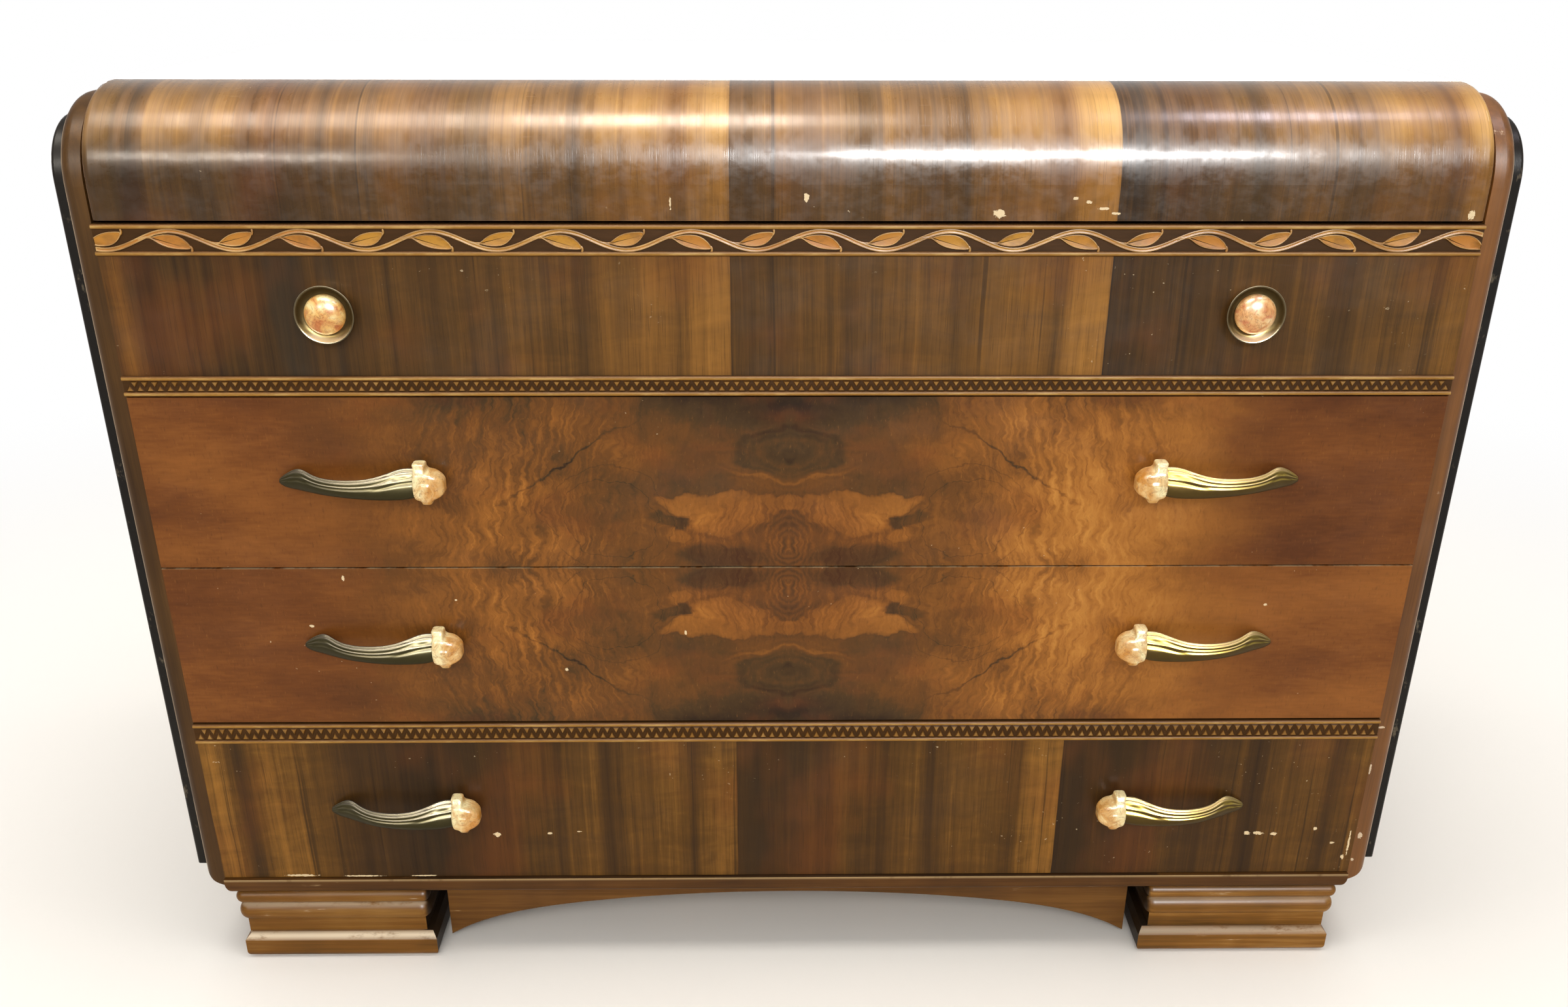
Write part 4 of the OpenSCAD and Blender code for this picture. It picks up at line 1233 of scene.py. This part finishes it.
@dataclass(frozen=True)
class VineCarving:
    """A running vine on the first drawer: a wavy stem with a leaf under each crest and over each trough.

    Sizes are in millimetres; the leaf's outline, its stalk and its tendril are drawn from a crest of the stem. The
    leaf is scaled for its place under a crest or over a trough, where it is upside down.
    """

    period: float = 103.7
    crest_x: float = -496.0
    stem_w: float = 3.4
    swing: float = 7.5
    relief: float = 1.7
    end_gap: float = 1.0
    overhang: float = 6.0
    upper_leaf: Point = (1.0, 1.0, 1.0)
    lower_leaf: Point = (0.88, 1.0, -0.97)
    outline: tuple[Pair, ...] = (
        (-16.5, 2.4), (-12.5, 3.1), (-8.7, 4.1), (-4.5, 4.7), (0.0, 4.7), (4.3, 4.2), (7.5, 3.2), (10.5, 1.5),
        (13.4, -1.0), (15.4, -3.6), (16.3, -5.6), (15.4, -6.9), (12.5, -7.2), (9.0, -7.1), (5.4, -6.9), (1.8, -6.4),
        (-2.0, -5.5), (-5.5, -4.2), (-8.6, -2.6), (-11.2, -0.8), (-13.4, 0.8), (-15.2, 1.8),
    )
    stalk: tuple[Pair, ...] = ((-25.0, 0.8), (-21.5, 1.9), (-18.0, 2.5), (-14.5, 2.5))
    tendril: tuple[Pair, ...] = ((15.6, -4.6), (16.7, -6.4), (16.8, -8.0), (16.2, -9.2))

    def _leaf(self) -> list[Piece]:
        """Shape one leaf with a raised rim, its stalk and its tendril, lying in the X-Z plane.

        Returns:
            The pattern's pieces.
        """
        blade = Piece("leaf_pattern").begin(
            bpy.ops.mesh.primitive_circle_add, vertices=len(self.outline), radius=0.01, fill_type="NGON",
            rotation=(math.pi / 2, 0, 0))
        spots = [v.co.copy() for v in bmesh.from_edit_mesh(blade.obj.data).verts]
        for spot, (x, z) in zip(spots, self.outline):
            blade.pick(lambda co, spot=spot: (co - spot).length < 1e-6)
            blade.push(x * MM - spot.x, 0, z * MM - spot.z + 0.1)
        bpy.ops.mesh.select_all(action="SELECT")
        blade.push(0, 0, -0.1)
        blade.extrude(0, -self.relief * MM, 0)
        bpy.ops.mesh.inset(thickness=0.60 * MM, depth=0.0, use_even_offset=False)
        bpy.ops.mesh.inset(thickness=0.32 * MM, depth=0.0, use_even_offset=False)
        blade.push(0, 0.65 * MM, 0)
        blade.end()
        blade.modify("BEVEL", width=0.22 * MM, segments=2, limit_method="ANGLE")
        blade.smooth(35)
        return [blade, self._strip("stalk", self.stalk, 1.9), self._strip("tendril", self.tendril, 1.7)]

    def _strip(self, name: str, path: Sequence[Pair], width: float) -> Piece:
        """Lay a short raised strip along a path in the X-Z plane.

        Args:
            name: the strip's name.
            path: points of its middle line.
            width: its width.

        Returns:
            The strip.
        """
        count = len(path) - 1
        piece = Piece(name).begin(bpy.ops.mesh.primitive_grid_add, x_subdivisions=count, y_subdivisions=1, size=1.0,
                                  rotation=(math.pi / 2, 0, 0))
        for vert in [v.co.copy() for v in bmesh.from_edit_mesh(piece.obj.data).verts]:
            step = round((vert.x + 0.5) * count)
            before, after = path[max(step - 1, 0)], path[min(step + 1, count)]
            way = Vector((after[0] - before[0], 0, after[1] - before[1])).normalized()
            spot = Vector((path[step][0], 0, path[step][1])) + Vector((-way.z, 0, way.x)) * width * vert.z
            piece.pick(lambda co, vert=vert: (co - vert).length < 1e-6)
            piece.push(spot.x * MM - vert.x, 0, spot.z * MM - vert.z)
        bpy.ops.mesh.select_all(action="SELECT")
        piece.extrude(0, -(self.relief - 0.15) * MM, 0)
        piece.end()
        piece.modify("BEVEL", width=0.45 * MM, segments=2, limit_method="ANGLE")
        piece.smooth(35)
        return piece

    def _stem(self, low: float, high: float, z: float, y: float) -> Piece:
        """Lay a grooved strip along the drawer and swing it up and down in a wave.

        Args:
            low: left end.
            high: right end.
            z: the band's middle.
            y: the ground of the band.

        Returns:
            The stem.
        """
        count = round((high - low) / (self.period * MM / 28))
        piece = Piece("vine_stem").begin(bpy.ops.mesh.primitive_grid_add, x_subdivisions=count, y_subdivisions=1,
                                         size=1.0, rotation=(math.pi / 2, 0, 0))
        piece.scale(high - low, 1.0, self.stem_w * MM, Vector((0, 0, 0)))
        piece.push((low + high) / 2, y, z)
        for x in sorted({round(v.co.x, 6) for v in bmesh.from_edit_mesh(piece.obj.data).verts}):
            phase = 2 * math.pi * (x - self.crest_x * MM) / (self.period * MM)
            piece.pick(lambda co, x=x: abs(co.x - x) < 1e-5)
            piece.push(0, 0, self.swing * MM * math.cos(phase))
            piece.scale(1.0, 1.0, 1.0 + 0.10 * abs(math.sin(phase)))
        bpy.ops.mesh.select_all(action="SELECT")
        piece.extrude(0, -self.relief * MM, 0)
        bpy.ops.mesh.inset(thickness=0.95 * MM, depth=0.0)
        bpy.ops.mesh.inset(thickness=0.35 * MM, depth=-0.50 * MM)
        piece.end()
        piece.modify("BEVEL", width=0.35 * MM, segments=2, limit_method="ANGLE", angle_limit=math.radians(40))
        piece.smooth(35)
        return piece

    def build(self, material: bpy.types.Material) -> None:
        """Carve the vine into the band.

        Args:
            material: the carving's finish.
        """
        low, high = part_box("vine_moulding")
        left, right = low.x + self.end_gap * MM, high.x - self.end_gap * MM
        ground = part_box("drawer_1_front")[0].y - VINE_GROUND
        z = (low.z + high.z) / 2
        parts = [self._stem(left, right, z, ground)]
        pattern = self._leaf()
        place = (self.crest_x - self.period) * MM
        while place < high.x + self.period * MM / 2:
            for at, size in ((0.0, self.upper_leaf), (self.period / 2, self.lower_leaf)):
                x = place + at * MM
                if low.x - self.overhang * MM < x < high.x + self.overhang * MM:
                    where = Matrix.Translation((x, ground, z)) @ Matrix.Diagonal((*size, 1.0))
                    parts += [piece.copy("leaf", where) for piece in pattern]
            place += self.period * MM
        for piece in pattern:
            piece.discard()
        vine = Piece.join("vine_carving", parts)
        for end, way in ((left, -1), (right, 1)):
            vine.cut_off(Vector((end, 0, 0)), Vector((way, 0, 0)))
        vine.dress(material, "drawer_1", "vine_carving")


@dataclass(frozen=True)
class ChipCarving:
    """Two rows of raised triangles that point at each other from the beads and leave a dark zigzag between them.

    Sizes are in millimetres. The pattern's middle is the height over its base at which it is drawn, and a row takes
    a share of the height between the beads.
    """

    drawer: int
    period: float = 8.35
    bead: float = 4.0
    bead_gap: float = 0.2
    first_x: float = 5.5
    end_gap: float = 5.0
    pattern_tall: float = 6.0
    pattern_middle: float = 2.0
    pattern_out: float = 0.6
    share: float = 0.64

    def _chip(self) -> Piece:
        """Shape one three-sided chip that points up, standing out of its ground.

        Returns:
            The chip's pattern, 7.4 mm wide and 6 mm tall.
        """
        piece = Piece("chip_pattern").begin(
            bpy.ops.mesh.primitive_cone_add, vertices=3, radius1=1.0, radius2=0.50, depth=1.0,
            end_fill_type="NGON", rotation=(math.pi / 2, 0, 0))
        piece.scale(4.3 * MM, 1.5 * MM, 4.0 * MM, Vector((0, 0, 0)))
        piece.end()
        return piece

    def build(self, material: bpy.types.Material) -> None:
        """Carve the chips along the moulding.

        Args:
            material: the carving's finish.
        """
        low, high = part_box(f"chip_moulding_{self.drawer}")
        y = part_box(f"drawer_{self.drawer}_front")[0].y - CHIP_GROUND - self.pattern_out * MM
        inside = (high.z - low.z) - 2 * self.bead * MM
        chip = self._chip()
        tall = inside * self.share / (self.pattern_tall * MM)
        clear = (self.bead + self.bead_gap) * MM
        rows = []
        for sign, base, shift in ((1, low.z + clear, 0.0), (-1, high.z - clear, 0.5)):
            x = low.x + (self.first_x + shift * self.period) * MM
            count = int((high.x - self.end_gap * MM - x) / (self.period * MM)) + 1
            z = base + sign * tall * self.pattern_middle * MM
            where = Matrix.Translation((x, y, z)) @ Matrix.Diagonal((1.0, 1.0, sign * tall, 1.0))
            row = chip.copy("chip_row", where)
            Piece.clear()
            row.modify("ARRAY", count=count, use_relative_offset=False, use_constant_offset=True,
                       constant_offset_displace=(self.period * MM, 0, 0))
            rows.append(row)
        chip.discard()
        Piece.join(f"chip_carving_{self.drawer}", rows).dress(material, f"drawer_{self.drawer}", "chip_carving")


@dataclass
class Cabinet:
    """The carried-over CAD nodes and their finishes."""

    finishes: dict[str, bpy.types.Material] = field(default_factory=dict)

    def paint(self, finish: Finish, *nodes: str) -> None:
        """Make one finish and give it to CAD nodes.

        Args:
            finish: the finish.
            *nodes: the nodes' names.
        """
        material = finish.make()
        for node in nodes:
            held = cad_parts[node].data.materials
            held.clear()
            held.append(material)
            self.finishes[node] = material

    def dress(self) -> None:
        """Finish every node that stays visible."""
        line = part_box("drawer_2_front")[0].z - 0.00075
        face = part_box("drawer_1_front")[0].y
        self._veneers(line, face)
        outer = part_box("side_overlay_right")
        chips = (
            (0.563, 0.137, 0.0030, 0.0050), (0.560, 0.108, 0.0022, 0.0022), (0.561, 0.262, 0.0050, 0.0014),
            (0.559, 0.215, 0.0012, 0.0090),
        )
        self.paint(GrainedWood("left_side_wood", "331f08", "482f10", "604018", axis="z", rough=0.34, worn=0.10,
                               bare="bda384", seed=1.0, arris_x=outer[0].x, specular=0.12), "side_panel_left")
        self.paint(GrainedWood("right_side_wood", "50300f", "6c431a", "875626", axis="z", rough=0.30, worn=0.18,
                               bare="cdb596", seed=2.0, arris_x=outer[0].x, chips=chips), "side_panel_right")
        self.paint(GrainedWood("overlay_side", "3d2716", "5b3b20", "77502a", axis="z", rough=0.26, seed=4.0,
                               black_x=outer[1].x, specular=0.14), "side_overlay_left", "side_overlay_right")
        top_of_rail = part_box("base_rail")[1].z
        self.paint(GrainedWood("rail_wood", "36200a", "503110", "69441a", axis="x", rough=0.36, worn=0.20, seed=6.0,
                               painted_end_shade=0.6, specular=0.1, worn_and_highlit_ledges=((top_of_rail, 0.60),)), "base_rail")
        self.paint(GrainedWood("apron_wood", "432a0d", "644018", "7e5625", axis="x", rough=0.36, worn=0.20, seed=7.0,
                               painted_end_shade=0.6, specular=0.1), "apron")
        for side, mid, high, worn_and_highlit_ledges in (("left", "704817", "8c642e", ((0.0245, 1.0), (0.0625, 0.45))),
                                        ("right", "7d521c", "ad8042", ((0.0245, 0.45), (0.0625, 0.30)))):
            self.paint(GrainedWood(f"{side}_foot_wood", "4c320d", mid, high, axis="x", rough=0.36, worn=0.30,
                                   bare="e4d2b4", seed=8.0, painted_end_shade=0.95, specular=0.1, worn_and_highlit_ledges=worn_and_highlit_ledges),
                       f"front_foot_{side}")
        self.paint(CarvedWood("moulding_wood", face - VINE_GROUND, depth=0.0021), "vine_moulding", "chip_moulding_1",
                   "chip_moulding_4")
        self._hidden()

    def _veneers(self, line: float, face: float) -> None:
        """Veneer the top and the drawer fronts.

        Args:
            line: height of the line between the second and third drawers.
            face: where the drawer faces stand.
        """
        low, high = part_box("waterfall_top")
        lip = low.z - face
        chips = (
            (0.011, lip + 0.0185, 0.0030, 0.0040), (0.165, lip + 0.006, 0.0060, 0.0044),
            (0.225, lip + 0.018, 0.0026, 0.0018), (0.236, lip + 0.015, 0.0032, 0.0016),
            (0.248, lip + 0.010, 0.0060, 0.0014), (0.258, lip + 0.006, 0.0050, 0.0012),
            (0.544, lip + 0.005, 0.0034, 0.0046), (-0.097, lip + 0.014, 0.0009, 0.0060),
            (0.104, lip + 0.075, 0.0020, 0.0020),
        )
        self.paint(StraightVeneer("top_veneer", smoke="33250f", rough=0.24, specular=0.14, gold=0.0, flat_z=high.z,
                                  edge_x=high.x, chips=chips), "waterfall_top")
        self.paint(StraightVeneer("first_drawer_veneer", seed=0.4), "drawer_1_front")
        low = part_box("drawer_4_front")[0].z - face
        chips = (
            (-0.284, low + 0.050, 0.0048, 0.0030), (-0.233, low + 0.051, 0.0030, 0.0014),
            (-0.204, low + 0.053, 0.0030, 0.0009), (0.449, low + 0.047, 0.0040, 0.0026),
            (0.460, low + 0.047, 0.0064, 0.0024), (0.475, low + 0.046, 0.0044, 0.0022),
            (0.516, low + 0.052, 0.0024, 0.0024), (0.535, low + 0.035, 0.0030, 0.0016),
            (0.548, low + 0.018, 0.0024, 0.0030), (0.5515, low + 0.034, 0.0012, 0.0190),
            (-0.480, low + 0.002, 0.0200, 0.0016), (-0.420, low + 0.001, 0.0240, 0.0012),
            (-0.360, low + 0.001, 0.0160, 0.0010),
        )
        self.paint(StraightVeneer("fourth_drawer_veneer", dark="2a1b09", brown="412a0e", tan="5b3c13",
                                  amber="8c5f24", smoke="2b1e0d", seed=2.3, left=0.28, third=-0.06, gold=0.05,
                                  chips=chips), "drawer_4_front")
        self.paint(BurlVeneer("burl_veneer", line=line), "drawer_2_front", "drawer_3_front")

    def _hidden(self) -> None:
        """Finish the bare inner wood, the plywood and the screws."""
        groups: dict[str, list[str]] = {"screws": [], "sheets": [], "deep": [], "inner": []}
        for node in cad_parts:
            if node in self.finishes:
                continue
            if "screws" in node:
                groups["screws"].append(node)
            elif node.endswith("_bottom") or node == "back_panel":
                groups["sheets"].append(node)
            elif node.endswith("_sides") or "runners" in node or "guides" in node:
                groups["deep"].append(node)
            else:
                groups["inner"].append(node)
        self.paint(GrainedWood("inner_wood", "9a7448", "b58c5c", "c9a474", axis="x", rough=0.6, seed=11.0),
                   *groups["inner"])
        self.paint(GrainedWood("drawer_side_wood", "9a7448", "b58c5c", "c9a474", axis="y", rough=0.6, seed=13.0),
                   *groups["deep"])
        self.paint(GrainedWood("plywood", "86633c", "9f7a4e", "b28d60", axis="x", rough=0.65, seed=17.0),
                   *groups["sheets"])
        self.paint(CastMetal("screw_steel", "55524c", "8a8780", "c2bfb8", rough=0.35), *groups["screws"])


@dataclass(frozen=True)
class Lamp:
    """One soft rectangular lamp; its place and aim are in metres, with y from the drawer faces."""

    name: str
    at: Point
    aim: Point
    size: Pair
    watts: float
    colour: Tint = (1.0, 1.0, 1.0)
    mirrored: bool = True
    lights: bool = True

    def hang(self, face_y: float) -> None:
        """Hang the lamp.

        Args:
            face_y: where the drawer faces stand.
        """
        at, aim = (Vector((x, face_y + y, z)) for x, y, z in (self.at, self.aim))
        data = bpy.data.lights.new(self.name, "AREA")
        data.shape = "RECTANGLE"
        data.size, data.size_y = self.size
        data.energy = self.watts
        data.color = self.colour
        lamp = bpy.data.objects.new(self.name, data)
        lamp.location = at
        lamp.rotation_euler = (aim - at).to_track_quat("-Z", "Y").to_euler()
        lamp.visible_glossy = self.mirrored
        lamp.visible_diffuse = self.lights
        bpy.context.scene.collection.objects.link(lamp)


SOFT_WHITE = (1.0, 0.97, 0.92)
WARM_WHITE = (1.0, 0.93, 0.83)
COOL_WHITE = (0.94, 0.86, 0.96)

# The first two and the last light the dresser; the strips are only there to be mirrored in the roll of the top.
LAMPS = (
    Lamp("front_softbox", (-0.4, -2.6, 2.2), (0.0, 0.0, 0.45), (2.6, 1.2), 49.0, SOFT_WHITE, mirrored=False),
    Lamp("overhead", (0.0, 0.15, 2.75), (0.0, 0.15, 0.0), (2.6, 1.5), 66.0, SOFT_WHITE, mirrored=False),
    Lamp("roll_strip_left", (-1.02, -0.52, 2.6), (-1.02, -0.52, 0.0), (0.95, 0.66), 60.0, WARM_WHITE, lights=False),
    Lamp("roll_strip_middle", (-0.22, -0.50, 2.6), (-0.22, -0.50, 0.0), (0.66, 0.50), 88.0, WARM_WHITE, lights=False),
    Lamp("roll_strip_right", (1.09, -0.25, 2.6), (1.09, -0.25, 0.0), (0.50, 0.34), 38.0, COOL_WHITE, lights=False),
    Lamp("far_strip", (0.95, -3.35, 2.6), (0.95, -0.3, 0.6), (1.5, 0.34), 1060.0, lights=False),
    Lamp("far_strip_left", (-2.10, -3.9, 2.6), (-0.5, -0.3, 0.6), (1.0, 0.60), 170.0, WARM_WHITE, lights=False),
    Lamp("back_panel_light", (0.0, 3.2, 1.08), (0.0, 0.3, 0.85), (5.0, 0.26), 11.5),
)


@dataclass(frozen=True)
class Studio:
    """Camera, floor, world and lamps; the camera's place has y from the drawer faces, and its angles are radians."""

    face_y: float
    pitch: float = 0.4053
    yaw: float = 0.01303
    roll: float = 0.00305
    place: Point = (-0.0197, -1.0504, 0.9462)
    focal_px: float = 2008.0
    width_px: float = 2399.0
    sensor_mm: float = 36.0
    fill: float = 0.56
    floor_size: float = 40.0
    fade_from: float = 0.55
    fade_to: float = 1.9

    def camera(self) -> None:
        """Set the camera at the photograph's angle."""
        data = bpy.data.cameras.new("camera")
        data.sensor_fit = "HORIZONTAL"
        data.sensor_width = self.sensor_mm
        data.lens = self.focal_px / self.width_px * self.sensor_mm
        data.clip_start = 0.05
        ahead = Vector((math.sin(self.yaw) * math.cos(self.pitch), math.cos(self.yaw) * math.cos(self.pitch),
                        -math.sin(self.pitch)))
        level = Vector((math.cos(self.yaw), -math.sin(self.yaw), 0))
        upright = level.cross(ahead)
        right = level * math.cos(self.roll) + upright * math.sin(self.roll)
        above = upright * math.cos(self.roll) - level * math.sin(self.roll)
        turn = Matrix((right, above, -ahead)).transposed().to_4x4()
        camera = bpy.data.objects.new("camera", data)
        x, y, z = self.place
        camera.matrix_world = Matrix.Translation((x, y + self.face_y, z)) @ turn
        bpy.context.scene.collection.objects.link(camera)
        bpy.context.scene.camera = camera

    def world(self) -> None:
        """Make the world white to the camera and a plain soft fill otherwise."""
        world = bpy.data.worlds.new("studio")
        bpy.context.scene.world = world
        world.use_nodes = True
        tree = world.node_tree
        light = tree.nodes["Background"]
        path = tree.nodes.new("ShaderNodeLightPath")
        level = tree.nodes.new("ShaderNodeMapRange")
        level.inputs["To Min"].default_value = self.fill
        level.inputs["To Max"].default_value = 1.0
        tree.links.new(path.outputs["Is Camera Ray"], level.inputs["Value"])
        tree.links.new(level.outputs[0], light.inputs["Strength"])
        light.inputs["Color"].default_value = (1.0, 1.0, 1.0, 1.0)

    def floor(self) -> None:
        """Lay a plain pale floor that fades to the white of the backdrop away from the dresser."""
        floor = Piece("floor").begin(bpy.ops.mesh.primitive_plane_add, size=self.floor_size)
        floor.end()
        b = Bench("pale_floor")
        b.finish(base="ece8e2", rough=0.8, specular=0.1)
        away = (b.x * b.x * 0.6 + b.y * b.y).root().ease(self.fade_from, self.fade_to)
        white = b.node("ShaderNodeEmission", None, {"Color": (1.0, 1.0, 1.0), "Strength": 1.0})
        joined = b.node("ShaderNodeMixShader", None, {0: away, 1: b.shader.outputs[0], 2: white.outputs[0]})
        b.feed(b.tree.nodes["Material Output"].inputs["Surface"], joined.outputs[0])
        floor.obj.data.materials.append(b.material)

    def build(self) -> None:
        """Set up everything round the dresser."""
        bpy.context.scene.view_settings.view_transform = "Standard"
        self.camera()
        self.world()
        self.floor()
        for lamp in LAMPS:
            lamp.hang(self.face_y)
        log.info("studio: %d lamps", len(LAMPS))


def fit_pulls(resin: bpy.types.Material) -> None:
    """Cast the pulls' two patterns once and set a copy of each on both sides of three drawers.

    Args:
        resin: the end caps' finish.
    """
    bright = CastMetal("pull_brass", "3c2b0a", "84712a", "a89468", rough=0.27, metal=0.6, painted_light=0.90).make()
    dark = CastMetal("pull_bronze", "2c260c", "433d26", "706a5e", rough=0.30, metal=0.6, painted_light=0.60).make()
    shape = PullShape()
    bar, cap = shape.bar(), shape.cap()
    for side in Side:
        metal, kind = (bright, Metal.BRIGHT) if side is Side.RIGHT else (dark, Metal.DARK)
        for drawer in (2, 3, 4):
            Pull(drawer, side).build(bar, cap, metal, kind.value, resin)
    bar.discard()
    cap.discard()


def main() -> None:
    """Build, finish and light the dresser."""
    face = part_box("drawer_1_front")[0].y
    cabinet = Cabinet()
    cabinet.dress()
    log.info("cabinet: %d nodes finished", len(cabinet.finishes))
    VineCarving().build(LeafWood("vine_wood", face - VINE_GROUND).make())
    chip_wood = CarvedWood("chip_wood", face - CHIP_GROUND, depth=0.0014, ground="3f260c", flank="654319",
                           crest="835c28", pale="a07c48").make()
    for drawer in (1, 4):
        ChipCarving(drawer).build(chip_wood)
    aged = CastMetal("knob_brass", "43361c", "928254", "e2d8bc", rough=0.30, metal=0.65, painted_light=0.9).make()
    for side, cream, peach, pink in (
        (Side.LEFT, "e6cf92", "dcae62", "c88a50"), (Side.RIGHT, "e8d2a0", "d8a468", "bc6444"),
    ):
        stone = MarbledResin(f"knob_resin_{side.word}", cream, peach, orange="b86a30", pink=pink, fall=0.04)
        Knob(side).build(aged, stone.make())
    fit_pulls(MarbledResin("cap_resin", bulge_x=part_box("pull_cap_2_right")[0].x + 0.012).make())
    Studio(face).build()


if __name__ == "__main__":
    main()
